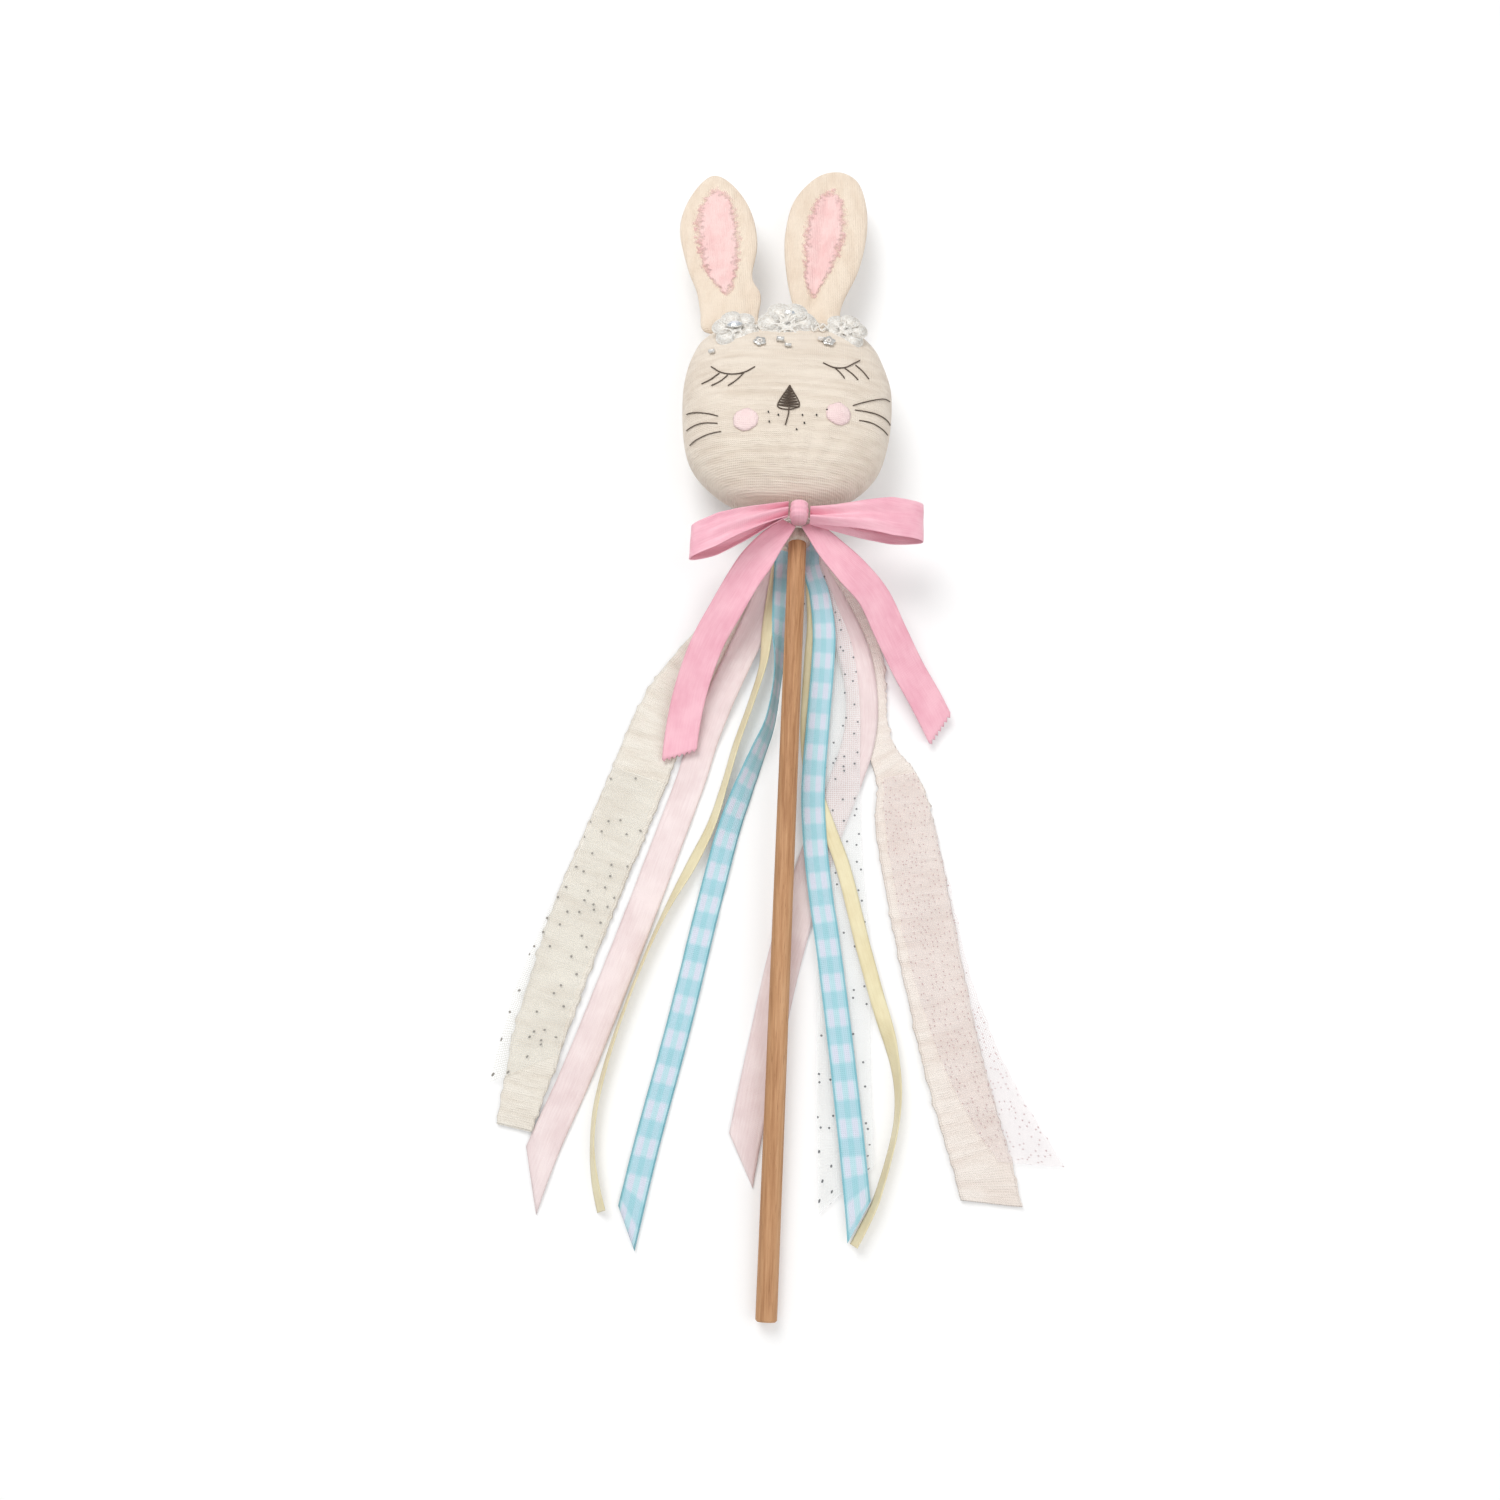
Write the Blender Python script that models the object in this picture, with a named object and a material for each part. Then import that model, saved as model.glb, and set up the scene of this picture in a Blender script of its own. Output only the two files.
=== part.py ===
"""Ribbon wand with a stuffed rabbit head: a wooden stick, a cloth head with two
ears and a lace crown, a satin bow at the neck, and a bundle of ribbons.

The wand lies on its back on the plane z = 0. The stick runs along Y in plan, with
its free end at -Y and the head at +Y, and the face looks up along +Z. All the
lengths below are in millimetres and are turned into metres by the mesh builders.
"""

import math

import bmesh
import bpy
from mathutils import Vector
from mathutils.geometry import intersect_line_line_2d

MM = 0.001
GAP = 0.3                 # clearance between touching pieces

# --- Stick ---------------------------------------------------------------------
STICK_RADIUS = 4.0
STICK_END_Y = -264.0      # free end, resting on the floor
STICK_TOP_Y = 118.0       # buried end, inside the stuffing
NECK_Y = 58.0
NECK_Z = 18.2             # height of the stick's axis at the neck
STICK_BEVEL = 0.6

# --- Head ----------------------------------------------------------------------
HEAD_WIDTH = 96.0
HEAD_HEIGHT = 97.0
HEAD_DEPTH = 45.0         # thickness, front to back
HEAD_X = -7.3             # the head sits a little to one side of the stick
HEAD_BOTTOM_Y = 65.6
HEAD_WALL = 1.2           # two layers of gauze and the seam allowance
HEAD_OUTLINE = [          # shares of the half width and half height
    (0.00, 1.00), (0.42, 0.98), (0.78, 0.80), (0.96, 0.42), (1.00, 0.12),
    (0.97, -0.28), (0.86, -0.62), (0.58, -0.88), (0.16, -1.00),
    (-0.36, -0.99), (-0.68, -0.82), (-0.92, -0.50), (-1.00, 0.06),
    (-0.97, 0.48), (-0.82, 0.80), (-0.46, 0.97),
]

# --- Ears ----------------------------------------------------------------------
EAR_HINGE_ABOVE = 9.5     # the fold line, above the top of the head
EAR_DROOP = 0.055         # fall in height for each unit of length
EAR_CLOTH = 1.2
EAR_WADDING = 2.4
PATCH_THICKNESS = 0.6
EAR_LEFT = [
    (-50.0, 172.0), (-52.5, 182.0), (-58.5, 197.0), (-64.0, 222.0), (-60.0, 243.0),
    (-50.5, 257.5), (-40.0, 253.0), (-29.5, 236.0), (-24.9, 214.0), (-25.6, 193.0),
    (-22.5, 181.0), (-24.0, 172.0),
]
EAR_RIGHT = [
    (-6.0, 172.0), (-9.5, 188.0), (-12.0, 207.0), (-12.0, 224.0), (-8.5, 243.0),
    (2.0, 259.0), (13.5, 263.5), (23.5, 257.0), (28.0, 240.0), (28.2, 221.0),
    (24.5, 199.0), (17.0, 181.0), (16.0, 172.0),
]
PATCH_LEFT = [
    (-45.0, 183.0), (-52.5, 197.0), (-57.5, 220.0), (-54.0, 240.0), (-47.5, 248.0),
    (-38.5, 241.0), (-33.5, 218.0), (-34.0, 192.0),
]
PATCH_RIGHT = [
    (-1.5, 186.0), (-2.8, 206.0), (-3.0, 226.0), (2.0, 242.0), (10.0, 249.0),
    (17.5, 238.0), (18.0, 216.0), (12.0, 196.0), (6.0, 184.0),
]

# --- Crown of lace flowers, and the stitched face --------------------------------
LACE_THICKNESS = 1.4
FLOWERS = {               # x, y, radius, layer above the head
    "flower_left": (-32.3, 147.6, 10.2, 0),
    "flower_center_lower": (-8.8, 150.0, 12.8, 0),
    "flower_center_upper": (-8.8, 150.0, 9.2, 1),
    "flower_right": (17.6, 148.6, 10.0, 0),
}
CRYSTALS = {              # flower it sits on, half length, half width, turn
    "crystal_left": ("flower_left", 3.2, 2.1, -20.0),
    "crystal_center": ("flower_center_upper", 2.8, 1.7, 0.0),
}
CRYSTAL_HEIGHT = 2.6
SEQUINS = {"sequin_left": (-20.8, 134.6), "sequin_right": (8.8, 135.2)}
SEQUIN_RADIUS = 2.6
SEQUIN_THICKNESS = 0.8
BEAD_PLACE = (-10.8, 134.2)
BEAD_RADIUS = 1.3
CHEEKS = {"cheek_left": (-25.0, 97.0), "cheek_right": (15.1, 102.0)}
CHEEK_RADIUS = 5.4
CHEEK_THICKNESS = 0.6
NOSE_PLACE = (-6.6, 107.6)
NOSE_SIZE = 5.0
NOSE_THICKNESS = 0.8

# --- Neck and bow --------------------------------------------------------------
NECK_CLOTH = 1.9          # gathered hem of the head, round the stick
THREAD_THICKNESS = 1.3    # binding thread, wound over the hem
THREAD_LENGTH = 8.0
KNOT_WIDTH = 8.0
KNOT_LENGTH = 8.0
KNOT_HEIGHT = 10.0
SATIN = 0.5               # thickness of the bow's satin ribbon
BOW_RIBBON = 14.5
LOOP_HALF_HEIGHT = 4.5
LOOP_PINCH = 0.45         # width of a loop where the knot gathers it, as a share
LOOP_LEFT = {"length": 41.0, "turn": 207.0, "width": 16.0}
LOOP_RIGHT = {"length": 48.0, "turn": -9.0, "width": 18.0}
LOOP_RUN = [(0.0, -0.27), (0.25, -0.55), (0.6, -0.95), (0.85, -1.0), (0.97, -0.6),
            (1.0, 0.0), (0.97, 0.6), (0.85, 1.0), (0.6, 0.95), (0.25, 0.55), (0.0, 0.27)]

# --- Ribbons: thickness of each cloth, and where each one can bend -----------------
RIBBON = 0.4
TULLE = 0.3
MUSLIN = 0.9
HINGE_Y = {
    "tail_left": 30.0, "tail_right": 35.0,
    "muslin_left": -58.0, "tulle_left_end": -130.0, "blush_left": -58.0,
    "yellow_left": 8.0, "gingham_left": 8.0, "blush_mid_end": -203.0,
    "streamers_right": 2.0, "yellow_right_end": -110.0, "gingham_right_end": -110.0,
    "muslin_right": -50.0, "glitter_right_end": -140.0,
}

NECK_RADIUS = STICK_RADIUS + GAP + NECK_CLOTH
THREAD_RADIUS = NECK_RADIUS + GAP + THREAD_THICKNESS
PILE_TOP = NECK_Z - THREAD_RADIUS - GAP
PILE_X = 6.0
TAIL_SEAT = NECK_Z + THREAD_RADIUS + GAP      # the bow's tails cross over the thread
KNOT_SEAT = TAIL_SEAT + SATIN + GAP


def pile(layers_above, thickness=RIBBON, sink=0.0):
    """Height of a ribbon's underside in the pile of ends tied under the neck."""
    return PILE_TOP - thickness - layers_above * (RIBBON + GAP) - sink


# Each route is a list of (x, y, height of the underside, width, roll in degrees).
TAIL_LEFT = [
    (-4.6, 56.0, TAIL_SEAT, 8.0, 0), (-7.0, 52.0, TAIL_SEAT, 9.0, 0),
    (-12.0, 46.0, 25.2, 12.0, 0), (-17.5, 38.0, 23.6, 14.5, 0),
    (-22.5, 30.0, 22.0, 14.5, 0), (-29.5, 17.0, 18.5, 14.5, 0), (-37.0, 3.0, 13.0, 14.5, 0),
    (-43.0, -16.0, 7.4, 14.5, 0), (-46.0, -35.0, 3.8, 14.5, 0), (-46.8, -55.0, 2.6, 14.5, 0),
]
TAIL_RIGHT = [
    (4.8, 56.0, TAIL_SEAT, 8.0, 0), (8.0, 51.5, TAIL_SEAT, 9.0, 0),
    (14.0, 45.0, 25.0, 12.0, 0), (23.5, 35.5, 23.2, 14.5, 0),
    (34.0, 25.0, 19.0, 14.5, 0), (42.0, 11.0, 13.5, 14.5, 0), (50.0, -3.0, 8.5, 14.5, 0),
    (58.5, -17.0, 5.0, 14.5, 0), (67.5, -34.0, 2.4, 14.5, 0),
]
MUSLIN_LEFT = [
    (-PILE_X - 1.0, 58.0, pile(3, MUSLIN), 7.0, 0), (-11.0, 44.0, pile(3, MUSLIN, 1.6), 11.0, 0),
    (-24.5, 22.0, 2.6, 17.0, 0), (-38.0, 2.0, 1.1, 22.0, 0), (-51.0, -20.0, 0.4, 24.0, 0),
    (-59.0, -41.0, 0.0, 24.0, 0), (-64.5, -60.0, 0.0, 24.0, 0), (-73.0, -86.0, 0.0, 24.0, 0),
    (-81.1, -112.0, 0.0, 24.0, 0), (-88.0, -138.0, 0.0, 22.0, 0), (-94.3, -166.0, 0.0, 20.0, 0),
    (-100.4, -201.0, 0.0, 13.5, 0),
]
TULLE_LEFT = [
    (-64.0, -55.0, 1.2, 21.0, 0), (-71.5, -80.0, 1.2, 21.0, 0), (-78.5, -103.0, 1.2, 22.0, 0),
    (-88.0, -130.0, 1.2, 23.0, 0), (-95.0, -155.0, 1.2, 23.0, 0), (-101.0, -192.0, 1.2, 22.0, 0),
]
BLUSH_LEFT = [
    (-PILE_X, 58.0, pile(2), 8.0, 0), (-9.0, 45.0, pile(2, sink=0.8), 10.0, 0),
    (-15.0, 22.0, 5.5, 12.7, 0), (-24.0, -1.0, 3.2, 12.7, 0), (-30.8, -19.0, 2.1, 12.7, 0),
    (-36.9, -38.0, 0.5, 12.7, 0), (-41.7, -58.0, 0.0, 12.7, 0), (-52.1, -94.0, 0.0, 12.7, 0),
    (-61.8, -127.0, 0.0, 12.7, 0), (-77.0, -176.0, 0.0, 12.7, 0), (-88.0, -207.0, 0.0, 12.7, 0),
    (-95.0, -232.0, 0.0, 12.7, 0),
]
YELLOW_LEFT = [
    (-PILE_X, 58.0, pile(1), 6.0, 0), (-8.2, 40.0, pile(1, sink=0.8), 6.0, 0),
    (-11.3, 14.0, 6.2, 6.0, 30), (-12.6, -3.0, 4.0, 6.0, 55), (-17.1, -20.6, 1.4, 6.0, 60),
    (-22.4, -39.0, 0.0, 6.0, 60), (-26.5, -57.4, 0.0, 6.0, 60), (-31.0, -75.4, 0.0, 6.0, 50),
    (-38.2, -93.0, 0.0, 6.0, 40), (-46.3, -110.5, 0.0, 6.0, 62), (-53.0, -127.5, 0.0, 6.0, 72),
    (-60.2, -150.0, 0.0, 6.0, 74), (-66.0, -172.0, 0.0, 6.0, 70), (-69.2, -191.0, 0.0, 6.0, 68),
    (-69.3, -206.0, 0.0, 6.0, 70), (-67.0, -219.0, 0.0, 6.0, 60), (-63.7, -229.5, 0.0, 6.0, 55),
]
GINGHAM_LEFT = [
    (-PILE_X, 58.0, pile(0), 8.0, 0), (-5.8, 40.0, pile(0, sink=0.6), 8.0, 0),
    (-6.2, 14.0, 6.9, 9.0, -40), (-6.0, -7.0, 2.6, 10.0, -70), (-8.4, -29.0, 1.0, 10.0, -68),
    (-14.0, -46.0, 0.0, 10.0, -52), (-23.2, -75.0, 0.0, 10.0, -24), (-30.4, -110.0, 0.0, 10.0, 0),
    (-39.3, -159.0, 0.0, 10.0, 0), (-48.7, -205.0, 0.0, 10.0, 0), (-55.5, -244.0, 0.0, 10.0, 0),
]
GINGHAM_RIGHT = [
    (PILE_X, 58.0, pile(0), 8.0, 0), (6.4, 44.0, pile(0, sink=0.6), 8.0, 0),
    (10.8, 31.0, 8.2, 9.0, 0), (13.4, 14.0, 6.9, 10.0, 0), (13.4, -2.0, 5.9, 10.0, 0),
    (12.2, -28.0, 4.3, 10.0, 0), (11.0, -58.0, 3.0, 10.0, 0), (12.4, -80.0, 2.1, 10.0, 0),
    (15.4, -103.0, 2.1, 10.0, 0), (19.0, -124.0, 2.1, 10.0, 0), (24.5, -160.0, 2.1, 10.0, 0),
    (29.5, -196.0, 2.1, 10.0, 0), (33.0, -224.0, 2.1, 10.0, 0), (34.5, -240.0, 2.1, 10.0, 0),
]
YELLOW_RIGHT = [
    (PILE_X, 58.0, pile(1), 6.0, 0), (6.6, 44.0, pile(1, sink=0.6), 6.0, 0),
    (8.8, 20.0, 6.6, 6.0, 0), (8.2, 0.0, 5.2, 6.0, 0), (7.6, -30.0, 3.4, 6.0, 0),
    (9.5, -50.0, 2.5, 6.0, 0), (13.0, -62.0, 2.0, 6.0, 0), (18.5, -76.0, 1.4, 6.0, 0),
    (25.0, -93.0, 1.4, 6.0, 0), (32.5, -121.0, 1.4, 6.0, 0), (38.8, -143.0, 1.4, 6.0, 0),
    (43.4, -157.0, 0.6, 6.0, 30), (46.4, -169.0, 0.0, 6.0, 58), (47.8, -180.0, 0.0, 6.0, 70),
    (47.4, -191.0, 0.0, 6.0, 76), (45.5, -201.0, 0.0, 6.0, 76), (42.8, -211.0, 0.0, 6.0, 74),
    (39.4, -221.6, 0.0, 6.0, 70), (35.3, -230.0, 0.0, 6.0, 66), (31.6, -237.0, 0.0, 6.0, 66),
]
MESH_RIGHT = [
    (PILE_X, 58.0, pile(2), 8.0, 0), (7.0, 44.0, pile(2, sink=0.6), 9.0, 0),
    (11.0, 28.0, 6.3, 14.0, 0), (17.0, 5.0, 4.6, 19.0, 0), (19.6, -20.0, 3.1, 21.0, 0),
    (20.2, -45.0, 2.1, 21.0, 0), (21.0, -70.0, 0.7, 21.0, 0), (22.8, -95.0, 0.7, 21.0, 0),
    (25.2, -120.0, 0.7, 21.0, 0), (26.2, -150.0, 0.7, 21.0, 0), (26.8, -178.0, 0.7, 21.5, 0),
    (28.0, -202.0, 0.7, 21.5, 0), (29.0, -230.0, 0.7, 21.5, 0),
]
BLUSH_MID = [
    (PILE_X, 58.0, pile(3), 8.0, 0), (9.0, 44.0, pile(3, sink=0.9), 10.0, 0),
    (18.0, 26.0, 4.8, 13.0, 0), (27.0, 6.0, 2.6, 14.0, 0), (31.0, -16.0, 1.4, 14.0, 0),
    (30.0, -35.0, 1.3, 14.0, 0), (25.0, -53.0, 0.8, 14.0, 0), (18.5, -72.0, 0.0, 14.0, 0),
    (12.0, -92.0, 0.0, 14.0, 0), (2.5, -127.0, 0.0, 14.0, 0), (-5.5, -170.0, 0.0, 13.5, 0),
    (-10.8, -200.0, 0.0, 12.7, 0), (-14.0, -224.0, 0.0, 12.7, 0),
]
MUSLIN_RIGHT = [
    (PILE_X + 1.0, 58.0, pile(4, MUSLIN), 8.0, 0), (13.0, 43.0, pile(4, MUSLIN, 1.2), 13.0, 0),
    (22.0, 26.0, 2.6, 17.0, 0), (29.5, 6.0, 0.6, 20.0, 0), (33.5, -14.0, 0.0, 16.0, 0),
    (36.5, -28.0, 0.0, 12.0, 0), (40.5, -40.0, 0.0, 12.0, 0), (47.5, -54.0, 0.0, 18.0, 0),
    (50.0, -71.0, 0.0, 24.0, 0), (56.3, -105.5, 0.0, 25.0, 0), (62.8, -138.0, 0.0, 24.0, 0),
    (70.5, -172.0, 0.0, 23.0, 0), (80.5, -207.0, 0.0, 22.0, 0), (84.5, -224.0, 0.0, 22.0, 0),
]
GLITTER_RIGHT = [
    (42.3, -37.0, 1.2, 7.0, 0), (48.5, -54.0, 1.2, 15.0, 0), (52.0, -72.0, 1.2, 20.0, 0),
    (58.5, -105.0, 1.2, 22.0, 0), (66.5, -139.0, 1.2, 22.0, 0), (79.0, -172.0, 1.2, 22.0, 0),
    (92.0, -194.0, 1.2, 21.0, 0), (104.0, -213.0, 1.2, 20.0, 0),
]


def clear_scene():
    for old in list(bpy.data.objects):
        bpy.data.objects.remove(old, do_unlink=True)


def finish(name, build, material, smooth=True):
    """Turn a bmesh in millimetres into a named object in metres."""
    bmesh.ops.scale(build, vec=(MM, MM, MM), verts=build.verts)
    bmesh.ops.recalc_face_normals(build, faces=build.faces)
    mesh = bpy.data.meshes.new(name)
    build.to_mesh(mesh)
    build.free()
    if smooth:
        mesh.shade_smooth()
        mesh.set_sharp_from_angle(angle=math.radians(40))
    mesh.materials.append(material)
    piece = bpy.data.objects.new(name, mesh)
    bpy.context.scene.collection.objects.link(piece)
    return piece


def make_material(name, color, roughness, metallic=0.0, alpha=1.0):
    material = bpy.data.materials.new(name)
    material.use_nodes = True
    shader = material.node_tree.nodes["Principled BSDF"]
    shader.inputs["Base Color"].default_value = (*color, 1.0)
    shader.inputs["Roughness"].default_value = roughness
    shader.inputs["Metallic"].default_value = metallic
    shader.inputs["Alpha"].default_value = alpha
    return material


def smooth_curve(points, steps, closed=False):
    """Catmull-Rom curve through the points, as a list of tuples."""
    count = len(points)
    spans = count if closed else count - 1
    curve = []
    for i in range(spans):
        if closed:
            p0, p1, p2, p3 = (points[(i + k - 1) % count] for k in range(4))
        else:
            p0, p1, p2, p3 = (points[min(max(i + k - 1, 0), count - 1)] for k in range(4))
        for step in range(steps):
            t = step / steps
            curve.append(tuple(
                0.5 * (2 * b + (c - a) * t + (2 * a - 5 * b + 4 * c - d) * t * t
                       + (3 * b - a - 3 * c + d) * t ** 3)
                for a, b, c, d in zip(p0, p1, p2, p3)))
    if not closed:
        curve.append(tuple(points[-1]))
    return curve


def unit_outline(outline):
    """The outline, fitted to run from -1 to 1 both ways."""
    lows = [min(axis) for axis in zip(*outline)]
    highs = [max(axis) for axis in zip(*outline)]
    return [tuple(2 * (value - low) / (high - low) - 1
                  for value, low, high in zip(point, lows, highs)) for point in outline]


def plane_cut(build, place, outward):
    """Cut off what lies on the outward side of a plane, and cap the cut."""
    parts = list(build.verts) + list(build.edges) + list(build.faces)
    cut = bmesh.ops.bisect_plane(build, geom=parts, plane_co=place, plane_no=outward,
                                 clear_outer=True, dist=1e-6)
    rim = [item for item in cut["geom_cut"] if isinstance(item, bmesh.types.BMEdge)]
    if rim:
        bmesh.ops.holes_fill(build, edges=rim)


def strip(sections):
    """Closed strip through sections, each four corners in order round the strip."""
    build = bmesh.new()
    rings = [[build.verts.new(corner) for corner in section] for section in sections]
    for ring, after in zip(rings, rings[1:]):
        for k in range(4):
            build.faces.new((ring[k], ring[(k + 1) % 4], after[(k + 1) % 4], after[k]))
    build.faces.new(reversed(rings[0]))
    build.faces.new(rings[-1])
    return build


def ribbon(name, route, thickness, material, above=None, below=None, cuts=(), steps=3):
    """A flat ribbon along a route, kept between two hinge lines and trimmed."""
    curve = smooth_curve(route, steps)
    sections = []
    for i, (x, y, z, width, roll) in enumerate(curve):
        z = max(z, 0.0)
        before = curve[max(i - 1, 0)]
        after = curve[min(i + 1, len(curve) - 1)]
        along = (Vector(after[:3]) - Vector(before[:3])).normalized()
        side = Vector((-along.y, along.x, 0.0)).normalized()
        turn = math.radians(roll)
        across = side * math.cos(turn) + Vector((0, 0, 1)) * math.sin(turn)
        normal = across.cross(along).normalized()
        if normal.z < 0:
            normal.negate()
        lift = abs(math.sin(turn)) * width / 2 + normal.z * thickness / 2
        middle = Vector((x, y, z + lift))
        sections.append([
            middle + across * (a * width / 2) + normal * (b * thickness / 2)
            for a, b in ((-1, -1), (1, -1), (1, 1), (-1, 1))])
    build = strip(sections)
    if above is not None:
        plane_cut(build, (0, above + GAP / 2, 0), (0, -1, 0))
    if below is not None:
        plane_cut(build, (0, below - GAP / 2, 0), (0, 1, 0))
    for start, end in cuts:
        outward = (start[1] - end[1], end[0] - start[0], 0)
        plane_cut(build, (start[0], start[1], 0), outward)
    return finish(name, build, material)


def plate(outline, low, high):
    """Closed plate of an outline, between two heights."""
    build = bmesh.new()
    base = build.faces.new([build.verts.new((x, y, low)) for x, y in outline])
    lifted = bmesh.ops.extrude_face_region(build, geom=[base])["geom"]
    top = [item for item in lifted if isinstance(item, bmesh.types.BMVert)]
    bmesh.ops.translate(build, vec=(0, 0, high - low), verts=top)
    return build


def tube(name, inner, outer, y_low, y_high, material, sides=32):
    """A sleeve round the stick's axis."""
    build = bmesh.new()
    profile = [(inner, y_low), (outer, y_low), (outer, y_high), (inner, y_high)]
    rings = []
    for k in range(sides):
        angle = 2 * math.pi * k / sides
        rings.append([build.verts.new((r * math.cos(angle), y, r * math.sin(angle)))
                      for r, y in profile])
    for k in range(sides):
        ring, after = rings[k], rings[(k + 1) % sides]
        for j in range(4):
            build.faces.new((ring[j], ring[(j + 1) % 4], after[(j + 1) % 4], after[j]))
    lean_to_stick(build)
    return finish(name, build, material)


def stick_height(y):
    """Height of the stick's axis above the floor."""
    rise = (NECK_Z - STICK_RADIUS) / (NECK_Y - STICK_END_Y)
    return STICK_RADIUS + 0.05 + rise * (y - STICK_END_Y)


def lean_to_stick(build):
    """Shear a shape made round the Y axis onto the leaning stick."""
    for vert in build.verts:
        vert.co.z += stick_height(vert.co.y)


def make_rod(name, radius, y_low, y_high, bevel, material, sides=32):
    build = bmesh.new()
    profile = [(radius - bevel, y_low), (radius, y_low + bevel),
               (radius, y_high - bevel), (radius - bevel, y_high)]
    rings = []
    for r, y in profile:
        rings.append([build.verts.new((r * math.cos(2 * math.pi * k / sides), y,
                                       r * math.sin(2 * math.pi * k / sides)))
                      for k in range(sides)])
    for ring, after in zip(rings, rings[1:]):
        for k in range(sides):
            j = (k + 1) % sides
            build.faces.new((ring[k], ring[j], after[j], after[k]))
    build.faces.new(rings[0])
    build.faces.new(reversed(rings[-1]))
    lean_to_stick(build)
    return finish(name, build, material)


# --- Head ------------------------------------------------------------------------
HEAD_Y = HEAD_BOTTOM_Y + HEAD_HEIGHT / 2
HEAD_Z = HEAD_DEPTH / 2
HEAD_EDGE = unit_outline(smooth_curve(HEAD_OUTLINE, 3, closed=True))
DOME_RINGS = (1.0, 0.97, 0.9, 0.78, 0.6, 0.36)


def dome(share):
    """Height of the stuffed head over its seam plane, as a share, at a ring."""
    return max(0.0, 1.0 - share ** 2.7) ** 0.5


def head_share(x, y):
    """How far out a place on the head is: 0 in the middle, 1 at the seam."""
    place = Vector(((x - HEAD_X) / (HEAD_WIDTH / 2), (y - HEAD_Y) / (HEAD_HEIGHT / 2)))
    far = place.normalized() * 2.0
    for start, end in zip(HEAD_EDGE, HEAD_EDGE[1:] + HEAD_EDGE[:1]):
        hit = intersect_line_line_2d(Vector((0, 0)), far, Vector(start), Vector(end))
        if hit:
            return place.length / hit.length
    return 0.0


def head_height(x, y):
    return HEAD_Z + GAP / 2 + (HEAD_DEPTH / 2 - GAP / 2) * dome(head_share(x, y))


def dome_rings(build, width, height, depth, base_z, sign):
    """Rings of vertices from a seam to the middle of one half of the head."""
    rings = []
    for share in DOME_RINGS:
        z = base_z + sign * depth * dome(share)
        rings.append([build.verts.new((HEAD_X + u * width / 2 * share,
                                       HEAD_Y + v * height / 2 * share, z))
                      for u, v in HEAD_EDGE])
    return rings, build.verts.new((HEAD_X, HEAD_Y, base_z + sign * depth))


def skin_rings(build, rings, tip):
    for ring, after in zip(rings, rings[1:]):
        for k in range(len(ring)):
            j = (k + 1) % len(ring)
            build.faces.new((ring[k], ring[j], after[j], after[k]))
    for k in range(len(rings[-1])):
        build.faces.new((rings[-1][k], rings[-1][(k + 1) % len(rings[-1])], tip))


def head_panel(name, sign, material, stick_cutter):
    """One half of the head: a cloth shell, open at the seam plane."""
    build = bmesh.new()
    base = HEAD_Z + sign * GAP / 2
    depth = HEAD_DEPTH / 2 - GAP / 2
    outer, outer_tip = dome_rings(build, HEAD_WIDTH, HEAD_HEIGHT, depth, base, sign)
    inner, inner_tip = dome_rings(build, HEAD_WIDTH - 2 * HEAD_WALL,
                                  HEAD_HEIGHT - 2 * HEAD_WALL, depth - HEAD_WALL, base, sign)
    skin_rings(build, outer, outer_tip)
    skin_rings(build, inner, inner_tip)
    for k in range(len(outer[0])):
        j = (k + 1) % len(outer[0])
        build.faces.new((outer[0][k], outer[0][j], inner[0][j], inner[0][k]))
    panel = finish(name, build, material)
    carve(panel, stick_cutter)
    return panel


def make_stuffing(material, stick_cutter):
    build = bmesh.new()
    width = HEAD_WIDTH - 2 * HEAD_WALL - 4 * GAP
    height = HEAD_HEIGHT - 2 * HEAD_WALL - 4 * GAP
    depth = HEAD_DEPTH / 2 - HEAD_WALL - 3 * GAP
    upper, upper_tip = dome_rings(build, width, height, depth, HEAD_Z, 1)
    lower, lower_tip = dome_rings(build, width, height, depth, HEAD_Z, -1)
    skin_rings(build, upper, upper_tip)
    skin_rings(build, lower, lower_tip)
    bmesh.ops.remove_doubles(build, verts=build.verts, dist=0.001)
    stuffing = finish("head_stuffing", build, material)
    carve(stuffing, stick_cutter)


def carve(piece, cutter):
    cut = piece.modifiers.new("cut", "BOOLEAN")
    cut.operation = "DIFFERENCE"
    cut.solver = "EXACT"
    cut.object = cutter


def hide_cutter(cutter):
    cutter.hide_render = True
    cutter.display_type = "WIRE"


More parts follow.
